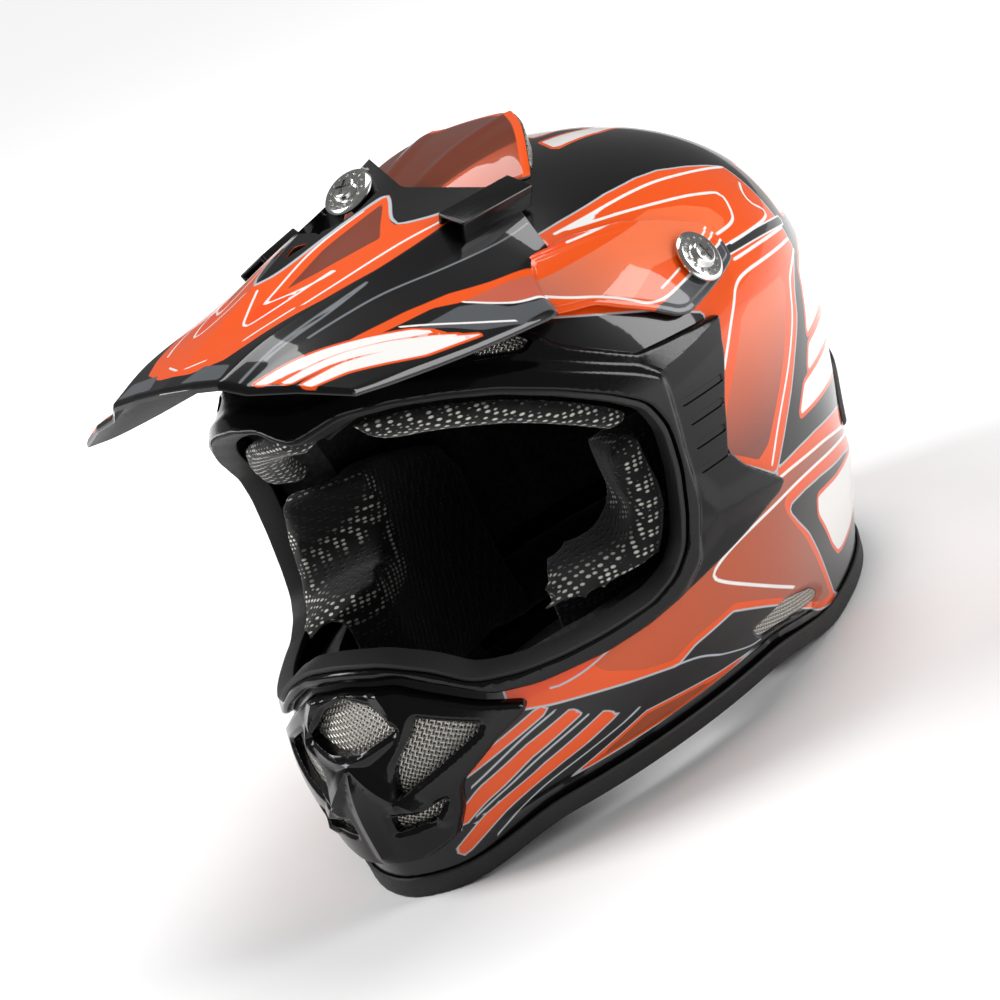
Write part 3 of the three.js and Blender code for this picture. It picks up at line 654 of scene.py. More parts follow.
def knit(name, dark, light, hole, pitch, depth, sheen, strip=None):
    """A knitted fabric over foam: staggered openings at a pitch, and a soft sheen. With a strip, the
    light colour shows in the openings only where the port_gap attribute lies within it, as a painted
    glint; nearer the port's edge the openings are painted dim grey, and the rest is painted black:
    painted shade.
    """
    material, tree, bsdf = surface(name, Roughness=0.92, Sheen_Weight=sheen, Sheen_Roughness=0.5)
    place = where(tree, (1 / pitch, 1 / pitch, 1.9 / pitch), (0.3, 0.2, 0.5))
    holes = node(tree, "TexVoronoi", None, Vector=place, Scale=1.0, Randomness=0.12)
    opened = node(tree, "MapRange", Value=holes.outputs["Distance"], From_Min=hole - 0.07,
            From_Max=hole + 0.07)
    colour = node(tree, "Mix", BLEND, i0=opened, i6=light, i7=dark).outputs[2]
    # Painted light: the openings glint only within the strip; towards the port's edge they are painted
    # dim grey, and elsewhere the fabric is painted black, as shade.
    if strip:
        gap = node(tree, "Attribute", {"attribute_name": "port_gap"}).outputs["Fac"]
        shaded_mesh_colour = node(tree, "Mix", BLEND, i0=opened, i6="#2c2c2e", i7=dark).outputs[2]
        colour = node(tree, "Mix", BLEND, i0=node(tree, "MapRange", Value=gap, From_Min=strip[0] - 1,
                From_Max=strip[0] + 1), i6="#050505", i7=colour).outputs[2]
        colour = node(tree, "Mix", BLEND, i0=node(tree, "MapRange", Value=gap, From_Min=strip[1] - 1,
                From_Max=strip[1] + 1), i6=colour, i7=shaded_mesh_colour).outputs[2]
        colour = node(tree, "Mix", BLEND, i0=node(tree, "MapRange", Value=gap, From_Min=2, From_Max=4),
                i6=colour, i7="#050505").outputs[2]
    fill(tree, bsdf.inputs["Base Color"], colour)
    fill(tree, bsdf.inputs["Normal"], node(tree, "Bump", Height=opened, Strength=0.8,
            Distance=depth / MM))
    return material


# Polyester spacer fabric: black open face over pale backing yarn, which shows bright in the holes only
# within a band of distances from the eye port, a painted glint; elsewhere the same fabric is painted
# dim or black, as painted shade.
spacer_fabric_painted_light = knit("polyester_spacer_fabric", "#0b0b0c", "#d8d5cc", 0.33, 3.6, 0.7, 0.15, (-21, -9))
brow_fabric_painted_light = knit("polyester_spacer_fabric_brow", "#0b0b0c", "#d8d5cc", 0.33, 3.6, 0.7, 0.15, (-30, -3))
# Brushed polyester knit: soft black lining.
brushed_knit = knit("brushed_polyester_knit", "#0a0a0b", "#111113", 0.3, 1.6, 0.2, 0.35)

# Woven polyester webbing: ribs across a flat strap.
strap_webbing, tree, bsdf = surface("woven_polyester_webbing", Roughness=0.8, Sheen_Weight=0.3)
height, gap = weave(tree, where(tree), 1.3)
fill(tree, bsdf.inputs["Base Color"], node(tree, "Mix", BLEND, i0=node(tree, "MapRange", Value=gap,
        From_Min=0.2, From_Max=0.9), i6="#050505", i7="#18181a").outputs[2])
fill(tree, bsdf.inputs["Normal"], node(tree, "Bump", Height=height, Strength=0.9, Distance=0.35 / MM))

ORANGE = "#ec5512"
VIVID = "#f04a02"
BROWN = "#7c3a28"
WHITE = "#f3f1ee"
SILVER = "#b9bfc4"
CHARCOAL = "#2a2b2d"


# ---------- shell and its graphics ----------

SIDE_FLASH = [[20, 72], [50, 72], [66, 75.5], [80, 80], [88, 83], [88, 87], [100, 86.5], [110, 85],
    [120, 82], [130, 78], [140, 71.5], [150, 63], [165, 52], [181, 42], [181, 22], [165, 33],
    [150, 45], [140, 51], [130, 57], [120, 61], [110, 65], [100, 67.5], [92, 68], [90.5, 65],
    [94, 57], [99, 47], [104, 33], [109, 18], [113, 6], [117, 2], [110, 4], [103, 6.5], [92, 16],
    [80, 31], [64, 45], [52, 43], [47, 39.5], [37, 46], [25, 55], [20, 60]]
SIDE_FILL = [[30, 71], [50, 71.5], [66, 75], [80, 79.5], [87, 82], [95, 81], [105, 78.5], [115, 75.5],
    [125, 70.5], [135, 64.5], [150, 53.5], [165, 42.5], [181, 34], [165, 40], [150, 51],
    [135, 61], [125, 66], [115, 69.5], [105, 72.8], [92, 74], [88.5, 71], [89.5, 65], [93, 56],
    [97, 47], [102, 33], [107, 18], [110, 8], [103, 10], [92, 19], [82, 32], [65, 47.5],
    [51.5, 45.5], [46.5, 42.5], [40, 47], [34, 56]]
LIP_FLASH = [[20, 72.5], [47, 72.5], [41, 67.5], [36, 63.5], [31, 60.5], [27, 60.5], [24, 62],
    [20.5, 61]]
TEMPLE_FLASH = [[87, 87], [76, 102], [70, 112], [72, 132], [76, 150], [78, 168], [66, 180],
    [40, 200], [40, 222], [60, 223], [80, 223], [95, 221.5], [105, 219], [115, 213.5],
    [122, 208.5], [128, 203], [127, 195], [125.5, 182], [125, 172], [124, 160], [117, 152],
    [113.5, 146], [111, 138], [105, 125], [100, 112], [94, 99], [89, 89]]
TEMPLE_FILL = [[72, 116], [76, 131], [83, 146], [88, 156], [93, 159], [110, 157], [110, 152],
    [107, 145], [103, 137], [98, 125], [92, 112], [86.5, 100.5], [82, 97.5], [77, 104], [72, 110]]
DOME_FILL = [[40, 211], [60, 210.5], [85, 211], [96, 205], [103, 198], [104, 190], [98, 188],
    [88, 193], [70, 195], [60, 190]]
BAND = [[96, 181.3], [108, 178.6], [118, 175.3], [127, 171.5]]
SHIELD = [[106.5, 57.5], [113, 56], [120, 54], [130, 52], [140, 49], [150, 43], [158, 35],
    [152, 28], [142, 25], [130, 22], [122, 21], [118, 22], [114, 29], [110, 40], [106, 50]]
REAR_SLASHES = [
    [[103, 98.5], [108, 109], [122, 109], [133, 108], [142, 104], [150, 97], [160, 86], [174, 76],
     [174, 68], [160, 72], [150, 80], [142, 86], [133, 93], [122, 95.5], [112, 97]],
    [[111, 112], [114, 121.5], [124, 122], [136, 121], [146, 115], [156, 105], [168, 95], [178, 90],
     [178, 82], [166, 88], [152, 98], [142, 106], [133, 110], [124, 112]],
    [[114, 126], [118, 140], [121, 150], [129, 156], [140, 158], [150, 150], [160, 136],
     [150, 131], [140, 126], [128, 127]],
    [[131, 172], [134, 186], [138, 198], [150, 190], [160, 176], [170, 160], [164, 150],
     [156, 160], [146, 168]],
]
# On the crown the graphics are drawn in plan, as [x, y].
CROWN_STRIPES = [
    [[-9, 50], [9, 50], [8, 80], [5, 120], [2.5, 152], [-2.5, 152], [-5, 120], [-8, 80]],
    [[17, 50], [29, 44], [28, 80], [22, 118], [13, 150], [10, 150], [15, 118], [18, 84]],
    [[38, 34], [49, 26], [50, 62], [44, 100], [31, 138], [26, 140], [36, 102], [41, 66]],
]
CHIN_SLASHES = [
    [[23.4, 56.5], [24.8, 53], [18, 47], [12, 41], [10, 42.5], [17, 50.5]],
    [[27.3, 49], [28.8, 44.5], [20, 37], [13, 27], [9, 19], [9, 26], [13, 35], [20, 43.5]],
    [[31.7, 40.3], [33.8, 35.3], [24, 28], [15, 18], [8, 7], [7, 11], [12, 21], [21, 32]],
]
CHIN_MARK = [[23, 14.5], [30, 21], [38, 28], [46, 24], [56, 19], [66, 16.3], [72, 15], [60, 14.5],
    [40, 14]]
WHITE_LINES = [
    [[88, 83], [95, 82], [105, 79.5], [115, 76.5], [125, 71.5], [135, 65.5], [150, 54], [165, 43],
     [180, 36]],
    [[88.5, 31], [80, 39.5], [70, 51], [63, 60], [60, 66], [66, 71], [77, 73.5], [92, 74.3],
     [105, 72.5], [115, 69.5], [125, 65.8], [135, 60.7], [150, 51], [165, 40], [180, 33]],
    [[86.5, 91], [90, 100], [95, 111], [100, 121], [105, 132], [109, 140], [112, 149], [115, 154],
     [124, 158.5]],
    [[77, 142], [80, 149], [84, 157], [88, 163], [91, 168], [96, 170], [110, 167.3], [124, 164]],
    [[60, 219.8], [70, 217.3], [80, 214.5], [90, 211], [100, 207], [107, 203], [113, 199],
     [109, 191], [106, 187.6], [97, 188.6]],
    [[56, 220.5], [80, 220], [95, 218], [105, 215], [115, 210.7], [122, 207], [128, 203]],
    [[99, 182.5], [110, 180.3], [121, 178], [123, 181], [119, 187], [121, 193], [125, 195]],
    [[96, 176.6], [110, 174], [125, 169.6]],
]
SILVER_LINES = [
    [[25.3, 61.8], [26.5, 60], [31, 60.2], [36, 63.4], [41, 67.4], [46.5, 72]],
    [[46, 40], [52, 36.6], [57, 31], [62, 25], [68, 19], [72, 18]],
    [[25.6, 51.7], [20, 47.5], [12, 36]],
    [[29.6, 42.6], [20, 35.5], [11, 22]],
    [[37.8, 32.6], [28, 26], [20, 19.5], [12, 8]],
]
FAINT_LINES = [[[81, 163], [90, 161], [100, 159.5], [112, 158.3], [124, 159]]]


def folded(sheet):
    """The chart with the right half laid over the left, and its places."""
    chart = sheet.chart.copy()
    chart[:, 0] = np.abs(chart[:, 0])
    return chart, sheet.lay(chart)


def flat_plan(chart):
    """Points of a drawing in millimetres, laid flat."""
    return np.column_stack([chart, np.zeros(len(chart))])


def drawn(sheet, outlines=(), lines=(), radius=1.2, plan=False):
    """A field of signed distances: positive inside any outline, and minus the distance to a line.

    With plan, the outlines are drawn on the dome seen from above, in millimetres.
    """
    chart, places = folded(sheet)
    lay, unit = sheet.lay, sheet.unit
    if plan:
        high = places[:, 2] > DOME_FROM
        chart = np.where(high[:, None], np.abs(places[:, :2]) * [1, 0] + places[:, :2] * [0, 1], 999)
        places = flat_plan(chart)
        lay, unit = flat_plan, 1.0
    found = np.full(len(chart), -FAR)
    for outline in outlines:
        found = np.maximum(found, signed(rounded(outline, radius, unit), chart, places, lay, unit))
    for line in lines:
        found = np.maximum(found, -distance(smoothed(line), False, chart, places, lay, unit))
    return found


def clear_of(sheet, outlines, radius=1.2):
    """How far the sheet's vertices are outside the nearest of several outlines."""
    return np.min([-sheet.signed(rounded(o, radius)) for o in outlines], axis=0)


def outside_only(values):
    """A field for a plate: the values on its outer face, and none on its inner face."""
    return np.concatenate([values, np.full(len(values), -FAR)])


def edge_lift(gap, radius):
    """Rounds an edge over: 0 at the edge, 1 from radius inwards."""
    t = np.clip(gap / radius, 0, 1)
    return np.sqrt(1 - (1 - t) ** 2)


SHELL_BASE = -2
SHELL_WALL = 4.0
TOP_Y = -59
TOP_SLOPE = math.atan2(HINGE_Y - TOP_Y, 262 - HINGE_Z)
TOP_Z = 261
INSERT_RADIUS = 5.0
hinge_turn = math.degrees(math.atan2(1, (float(ring_at(np.array(HINGE_Z),
        0)["middle"]) - HINGE_Y) / 120))
hinge_lean = (on_shell([hinge_turn, HINGE_Z + 8])[0] - on_shell([hinge_turn, HINGE_Z - 8])[0]) / 16


def axis_through(at, direction):
    """A point and a unit direction."""
    return np.array(at, float), np.array(direction, float) / np.linalg.norm(direction)


# Each screw's point on its axis, and the axis outwards.
SCREWS = {
    "left": axis_through(on_shell([hinge_turn, HINGE_Z]), [1, -0.06, -hinge_lean]),
    "right": axis_through(on_shell([-hinge_turn, HINGE_Z]), [-1, -0.06, -hinge_lean]),
    "top": axis_through([0, TOP_Y, TOP_Z], [0, -math.sin(TOP_SLOPE), math.cos(TOP_SLOPE)]),
}


def off_axis(places, screw):
    """Distance of places from a screw's axis, for those on its own side of the head."""
    at, axis = screw
    run = places - at
    along = run @ axis
    gap = np.linalg.norm(run - along[:, None] * axis, axis=1)
    return np.where(along > -30, gap, FAR)


side_levels = np.linspace(SHELL_BASE, EQUATOR, 62)
dome_levels = EQUATOR + (SHELL_HEIGHT - EQUATOR) * np.sin(np.linspace(0, math.pi / 2, 58)[1:])
shell = Sheet(np.linspace(-180, 180, 321), np.concatenate([side_levels, dome_levels]), on_shell)
port = rounded(both_sides(EYE_PORT), 5)
mouth = rounded(both_sides(MOUTHPIECE), 3)
shell.cut(-shell.signed(port), 0, 1)
shell.cut(np.minimum(shell.signed(mouth) - 5, 4), 0, -1)
shell.cut(-shell.signed(rounded(MESH_CENTER, 2)) - 1.5, 0, 1)
for vent in (BROW_VENT, mirror(BROW_VENT), SIDE_VENT, mirror(SIDE_VENT)):
    shell.cut(-shell.signed(rounded(vent, 1.5)), 0, 1)
for screw in SCREWS.values():
    shell.cut(off_axis(shell.places(), screw) - INSERT_RADIUS - 0.3, 0, 1)
# A step runs along the shell above the rim, and the side vent has a sunk border.
step_line = [[14, 13], [30, 14.6], [45, 13], [70, 12.6], [90, 10], [104, 7]]
SIDE_VENTS = (SIDE_VENT, mirror(SIDE_VENT))
shell.cut(clear_of(shell, SIDE_VENTS, 1.5), 2.5)
for line in [step_line, BAND, *WHITE_LINES, *SILVER_LINES, *FAINT_LINES]:
    shell.score(line)
vent_gap = clear_of(shell, SIDE_VENTS, 1.5)
chart, places = folded(shell)
groove = distance(smoothed(step_line), False, chart, places, on_shell)
lift = -1.6 * (1 - smooth_step(vent_gap, 0, 2.5)) - 1.0 * (1 - smooth_step(groove, 0, 2.2))
# The graphics are drawn on the plain surface, and the rim is arched afterwards.
low = shell.chart[:, 1] < RIM_ARCH_TOP
share = (RIM_ARCH_TOP - shell.chart[low, 1]) / (RIM_ARCH_TOP - SHELL_BASE)
points, faces = shell.solid(lift, -SHELL_WALL)
rise = np.zeros(len(points))
rise[np.concatenate([low, low])] = np.tile(arch_at(shell.chart[low, 0]) * share, 2)
shell_fields = {
    "colour_area": drawn(shell, [SIDE_FLASH, TEMPLE_FLASH]),
    "side_fill": drawn(shell, [SIDE_FILL], radius=2),
    "temple_fill": drawn(shell, [TEMPLE_FILL, DOME_FILL], radius=2),
    "vivid_area": drawn(shell, [LIP_FLASH], FAINT_LINES),
    "band_line": drawn(shell, lines=[BAND]),
    "white_area": np.maximum(drawn(shell, [SHIELD, *REAR_SLASHES], radius=2.5),
                             drawn(shell, CROWN_STRIPES, plan=True)),
    "white_lines": drawn(shell, lines=WHITE_LINES),
    "slash_area": drawn(shell, CHIN_SLASHES, radius=0.6),
    "mark_area": drawn(shell, [CHIN_MARK], radius=0.6),
    "silver_lines": drawn(shell, lines=SILVER_LINES),
}
points[:, 2] += rise
shell_livery = lacquered("lacquered_abs_shell_graphics", "#0b0b0c", [
    ("colour_area", -0.9, SILVER), ("colour_area", 0.0, ORANGE),
    ("side_fill", 0.0, fade(-130, 40, "#d2521c", "#a4573f", 1)),
    ("temple_fill", 0.0, fade(110, 168, "#87483c", "#f2703f")),
    ("vivid_area", -0.4, VIVID), ("band_line", -2.6, WHITE), ("band_line", -1.9, CHARCOAL),
    ("white_area", -2.0, ORANGE), ("white_area", 0.0, WHITE),
    ("white_lines", -0.75, WHITE),
    ("slash_area", -0.3, SILVER), ("slash_area", 0.3, ORANGE),
    ("mark_area", -0.7, SILVER), ("mark_area", 0.0, ORANGE), ("mark_area", 2.0, "#9a431c"),
    ("silver_lines", -0.42, SILVER),
])
piece("painted_shell", make_mesh("painted_shell", points, faces,
      {k: outside_only(v) for k, v in shell_fields.items()}),
      "helmet", shell_livery, ["outer_shell"])


# ---------- eye port surround, seal and mouthpiece ----------

FRAME_EDGE = [[0, 199], [14, 201], [23, 196], [39, 184], [57, 163], [61, 157], [60.5, 124],
    [61.5, 101], [58, 77], [52, 68], [36, 64], [25, 66], [19, 70], [14, 80], [8, 90], [0, 93]]
FACET_LINES = [[[61.5, 103], [65, 91], [75, 88.5], [88, 84]], [[56, 83], [65, 90.5]],
               [[60, 158], [70, 161], [80, 164.5]]]
RIBS = [[[63.5, 141.5], [74.5, 141.5]], [[64, 132.5], [73, 132.5]], [[64, 122], [71.8, 122]],
        [[64, 111.5], [71.8, 111.5]]]
frame_edge = rounded(both_sides(FRAME_EDGE), 4)
surround = Sheet(np.linspace(-90, 90, 271), np.linspace(60, 208, 100), on_shell)
surround_edge = rounded(both_sides(SURROUND), 2.5)
surround.cut(surround.signed(surround_edge), 0, 1)
surround.cut(-surround.signed(port), 0, 1)
for vent in (BROW_VENT, mirror(BROW_VENT)):
    surround.cut(-surround.signed(rounded(vent, 1.5)) - 0.8, 0, 1)
for level in (0.5, 1.4):
    surround.cut(surround.signed(surround_edge), level)
    surround.cut(-surround.signed(port), level)
for level in (-2.4, -1.2, 0.0, 1.2, 2.4):
    surround.cut(surround.signed(frame_edge), level)
# Each rib is a pair of fine grooves.
grooves = [[[a, b + shift] for a, b in line] for line in RIBS for shift in (-0.9, 0.9)]
for line in grooves:
    surround.score(line)


def line_gap(sheet, lines):
    """How far the sheet's vertices are from the nearest of several lines."""
    chart, places = folded(sheet)
    return np.min([distance(line, False, chart, places, on_shell) for line in lines], axis=0)


for level in (0.35, 0.8):
    surround.cut(line_gap(surround, grooves), level)
for line in FACET_LINES:
    surround.score(line)
facets = line_gap(surround, FACET_LINES)
in_frame = surround.signed(frame_edge)
lift = 2.2 * edge_lift(surround.signed(surround_edge), 1.4) + 0.6
lift += 2.6 * smooth_step(in_frame, -2.4, 2.4)
lift -= 2.2 * (1 - edge_lift(-surround.signed(port), 1.4))
lift += 1.6 * np.maximum(0, 1 - facets / 9) * smooth_step(-in_frame, 0, 2.4)
lift -= 0.8 * (1 - smooth_step(line_gap(surround, grooves), 0.35, 0.8))
points, faces = surround.solid(lift, 0.3)
piece("eyeport_surround_moulding", make_mesh("eyeport_surround_moulding", points, faces, sharp=28),
      "helmet", moulded_abs, ["eyeport_surround"])

points, faces = sweep(stepped(port, 4, True),
                      round_section([[0.4, -7], [0.4, 4.2], [3.2, 4.6], [3.2, -7]], 0.9))
piece("eyeport_seal_strip", make_mesh("eyeport_seal_strip", points, faces),
      "helmet", extruded_rubber, ["eyeport_seal"])

mouth_meshes = {"upper_left": MESH_UPPER, "upper_right": mirror(MESH_UPPER),
    "lower_left": MESH_LOWER, "lower_right": mirror(MESH_LOWER), "center": MESH_CENTER}
mouthpiece = Sheet(np.linspace(-24, 24, 121), np.linspace(12, 92, 91), on_shell)
mouthpiece.cut(mouthpiece.signed(mouth), 0, 1)
mouthpiece.cut(clear_of(mouthpiece, mouth_meshes.values()), 0, 1)
for level in (0.8, 2.4):
    mouthpiece.cut(clear_of(mouthpiece, mouth_meshes.values()), level)
for level in (0.6, 1.8):
    mouthpiece.cut(mouthpiece.signed(mouth), level)
ridges = [[[0, 62], [3, 50], [6, 40], [9, 30]], [[0, 62], [7.5, 73], [5, 87]],
          [[7.5, 73], [8, 58], [4.5, 42]], [[0, 62], [0, 20]]]
for line in ridges:
    mouthpiece.score(line)
ridge = line_gap(mouthpiece, [smoothed(line) for line in ridges])
lift = 1 + 4.6 * edge_lift(mouthpiece.signed(mouth), 1.8)
lift += 2.4 * np.maximum(0, 1 - ridge / 5)
lift -= 1.6 * (1 - smooth_step(clear_of(mouthpiece, mouth_meshes.values()), 0, 2.4))
points, faces = mouthpiece.solid(lift, 0.3)
piece("mouthpiece_moulding", make_mesh("mouthpiece_moulding", points, faces, sharp=28),
      "helmet", moulded_abs, ["mouthpiece"])


def wire_mesh(name, outline, out, replaced, swell=1.2, slant=0.6, body="helmet"):
    """A sheet of woven wire behind an opening, dished slightly, with its own weave coordinates."""
    outline = np.array(outline, float)
    low, high = outline.min(0) - 2, outline.max(0) + 2
    sheet = Sheet(np.linspace(low[0], high[0], 22), np.linspace(low[1], high[1], 22), on_shell)
    sheet.cut(sheet.signed(rounded(outline, 1.2)) + swell, 0, 1)
    points, faces = sheet.solid(out, out - 0.8)
    places = sheet.places()
    middle = places.mean(0)
    outward = middle - HEAD_CENTER
    outward /= np.linalg.norm(outward)
    right = np.cross(outward, [0, 0, 1.0])
    right /= np.linalg.norm(right)
    up = np.cross(right, outward)
    flat = np.column_stack([(places - middle) @ right, (places - middle) @ up])
    c, s = math.cos(slant), math.sin(slant)
    woven = np.column_stack([flat @ [c, s], flat @ [-s, c], np.zeros(len(flat))])
    mesh = make_mesh(name, points, faces, {"weave": np.vstack([woven, woven])})
    return piece(name, mesh, body, woven_wire, [replaced])


for where_at, outline in mouth_meshes.items():
    wire_mesh("woven_mesh_mouth_" + where_at, outline, -0.2, "mouth_mesh_" + where_at)
for side, flip in (("left", list), ("right", mirror)):
    wire_mesh("woven_mesh_brow_" + side, flip(BROW_VENT), -1.4, "brow_vent_mesh_" + side, 0.5)
    wire_mesh("woven_mesh_side_" + side, flip(SIDE_VENT), -2.0, "side_vent_mesh_" + side, 0.3, 0.35)


# ---------- rim trim, crown cover and rear vent cover ----------

rim_section = round_section([[2.2, -5], [2.0, 3.2], [0.4, 4.2], [0.4, -2.4], [-7.8, -2.4], [-7.8, 5],
                             [-9.4, 5], [-9.4, -5]], 0.9)
rim_turns = np.arange(0, 360, 2)
loops = [on_shell([[turn, z + float(arch_at(turn))] for q, z in rim_section],
                  np.array([q for q, z in rim_section])) for turn in rim_turns]
points, faces = loft(loops, True)
piece("rim_trim_strip", make_mesh("rim_trim_strip", points, faces), "helmet", extruded_rubber,
      ["rim_trim"])

COVER_FRONT = -76
COVER_REAR = -8
COVER_BOW = [8, 60]
COVER_WIDTH = [[COVER_FRONT, 17], [-60, 25], [-40, 34], [-20, 47], [COVER_REAR, 55]]
COVER_LIFT = [[COVER_FRONT, 2], [-60, 4], [-40, 7], [-20, 10.5], [COVER_REAR, 12.5]]


def on_cover(chart, lift=1.0):
    """The crown cover at [share of the half width, place along]: lift 0 is its foot, 1 its top."""
    u, y = chart[:, 0], chart[:, 1]
    half, high = curve(COVER_WIDTH, y), curve(COVER_LIFT, y)
    bow = COVER_BOW[0] + (COVER_BOW[1] - COVER_BOW[0]) * (y - COVER_FRONT) / (COVER_REAR - COVER_FRONT)
    x, back = u * half, y + bow * (1 - u * u)
    rise = np.maximum(0.9, high * (1 - np.abs(u) ** 5))
    # Two ribs run back from the screw, either side of a shallow middle channel.
    rise = rise + 1.4 * np.exp(-((np.abs(x) - 0.42 * half) / 3.2) ** 2) * smooth_step(y, -62, -30)
    return np.column_stack([x, back, dome_height(x, back) + 0.4 + rise * lift])


cover = Sheet(np.sin(np.linspace(-1, 1, 69) * math.pi / 2), np.linspace(COVER_FRONT, COVER_REAR, 46),
              on_cover, 30.0)
cover.cut(off_axis(cover.places(), SCREWS["top"]) - 8.2, 0, 1)
points, faces = cover.solid(1.0, 0.0)
rear_gap = COVER_REAR - cover.chart[:, 1]
rim_fields = {"rear_band": outside_only(3.4 - rear_gap * (1 - cover.chart[:, 0] ** 2 * 0.2)),
              "side_band": outside_only((np.abs(cover.chart[:, 0]) - 0.8) * 30)}
cover_paint = lacquered("lacquered_abs_cover", "#6a2c16", [
    ("side_band", 0.0, fade(-70, 40, ORANGE, "#8a3d22", 1)), ("rear_band", 0.0, ORANGE)])
piece("painted_crown_cover", make_mesh("painted_crown_cover", points, faces, rim_fields, sharp=40),
      "helmet", cover_paint, ["crown_vent_cover"])

strip = np.linspace(-0.94, 0.94, 60)
stations = []
for y in (COVER_REAR + 0.3, COVER_REAR + 1.2):
    line = np.column_stack([strip, np.full(len(strip), y)])
    stations.append(np.vstack([on_cover(line, 0.86), on_cover(line, 0.02)[::-1]]))
size = len(strip)
points = np.vstack(stations)
faces = []
for i in range(size - 1):
    j = 2 * size - 1 - i
    faces += [[i, i + 1, j - 1, j], [2 * size + j, 2 * size + j - 1, 2 * size + i + 1, 2 * size + i]]
ring = list(range(2 * size))
faces += [[a, b, b + 2 * size, a + 2 * size] for a, b in zip(ring, ring[1:] + ring[:1])]
woven = np.column_stack([points[:, 0], points[:, 2], np.zeros(len(points))])
piece("woven_mesh_crown", make_mesh("woven_mesh_crown", points, faces, {"weave": woven}),
      "helmet", woven_wire, ["crown_vent_mesh"])

REAR_LIP = [[138, 62], [142, 92], [160, 104], [180, 107], [200, 104], [218, 92], [222, 62],
            [204, 52], [180, 49], [156, 52]]
rear_cover = Sheet(np.linspace(134, 226, 111), np.linspace(46, 110, 62), on_shell)
rear_edge = rounded(REAR_LIP, 6)
rear_cover.cut(rear_cover.signed(rear_edge), 0, 1)
rear_slots = [[[158, 70], [202, 70], [200, 76], [160, 76]],
              [[154, 82], [206, 82], [203, 88], [157, 88]]]
for level in (1.0, 3.0):
    rear_cover.cut(rear_cover.signed(rear_edge), level)
for level in (0, 1.2):
    rear_cover.cut(-clear_of(rear_cover, rear_slots, 2.5), level)
slot_gap = -clear_of(rear_cover, rear_slots, 2.5)
lift = 0.6 + 1.9 * edge_lift(rear_cover.signed(rear_edge), 3.0) - 1.6 * smooth_step(slot_gap, 0, 1.2)
points, faces = rear_cover.solid(lift, 0.3)
piece("rear_vent_moulding", make_mesh("rear_vent_moulding", points, faces), "helmet", textured_abs,
      ["rear_vent_cover"])


# ---------- peak ----------

# Half sections from the front edge back: middle, tongue, plateau edge, ledge, wing, outer edge.
PEAK_SECTIONS = np.array([
    [[0, -213, 236.5], [15, -212.5, 236], [28, -211, 234.5], [35, -206, 229], [53, -199, 224],
     [71, -190, 216]],
    [[0, -182, 241.5], [17, -181, 240.5], [32, -180, 239.5], [41, -178, 232.5], [60, -172, 223],
     [76, -167, 211.5]],
    [[0, -142, 250], [18, -141, 246], [38, -139, 240.5], [49, -137, 232], [68, -133, 219],
     [86, -130, 206]],
    [[0, -103, 258.5], [19, -102, 252], [44, -99, 241], [55, -96, 231], [77, -92, 216],
     [95, -88, 201]],
    [[0, -70, 264], [21, -68, 255], [50, -66, 242], [62, -63, 231], [80, -66, 218],
     [91, -74, 199]],
    [[0, -38, 270], [20, -50, 257], [55, -37, 245], [68, -42, 233], [82, -54, 220],
     [97, -65, 197]]])
PEAK_WALL = 3.0
CREASE = 0.09  # share of a face, each side of a crease, over which it is rounded
SEAT_RADIUS = math.hypot(HINGE_Y - TOP_Y, TOP_Z - HINGE_Z) - 1


def on_peak(chart, out=0.0):
    """The peak at [face, station]: 0 is its middle, each whole number a crease, 5 the outer edge."""
    face, station = np.abs(chart[:, 0]), chart[:, 1]
    lines = np.stack([[curve(np.column_stack([range(6), PEAK_SECTIONS[:, k, axis]]), station)
                       for k in range(6)] for axis in range(3)])
    near = np.clip(np.round(face), 1, 4)
    t = np.clip((face - near + CREASE) / (2 * CREASE), 0, 1)
    rounding = np.abs(face - near) < CREASE

    def at(u):
        i = np.clip(np.floor(u), 0, 4).astype(int)
        column = np.arange(len(u))
        return lines[:, i, column] * (1 - u + i) + lines[:, i + 1, column] * (u - i)

    bent = (1 - t) ** 2 * at(near - CREASE) + 2 * t * (1 - t) * at(near) + t * t * at(near + CREASE)
    place = np.where(rounding, bent, at(face)).T
    place[:, 0] *= np.where(chart[:, 0] < 0, -1, 1)
    place[:, 2] += out
    return place


def seat_places(places):
    """Places as millimetres across and along the arc of the top screw's seat."""
    angle = np.arctan2(HINGE_Y - places[:, 1], places[:, 2] - HINGE_Z)
    return np.column_stack([places[:, 0], (angle - TOP_SLOPE) * SEAT_RADIUS])


SEAT = [[-13.6, -10], [-8.6, -14.5], [8.6, -14.5], [13.6, -10], [13.6, 20], [8.4, 28], [-8.4, 28],
        [-13.6, 20]]
SLOT = [[-3.9, -5], [3.9, -5], [3.9, 18], [-3.9, 18]]


def within(outline, radius, plan):
    """How far points of a flat drawing are inside an outline drawn with them."""
    return signed(rounded(outline, radius, 1.0), plan, flat_plan(plan), flat_plan, 1.0)


def seat_gap(outline, radius):
    return within(outline, radius, seat_places(peak.places()))


def peak_plan():
    """The peak's vertices seen from above, folded onto its left half."""
    places = peak.places()
    return np.column_stack([np.abs(places[:, 0]), places[:, 1]])


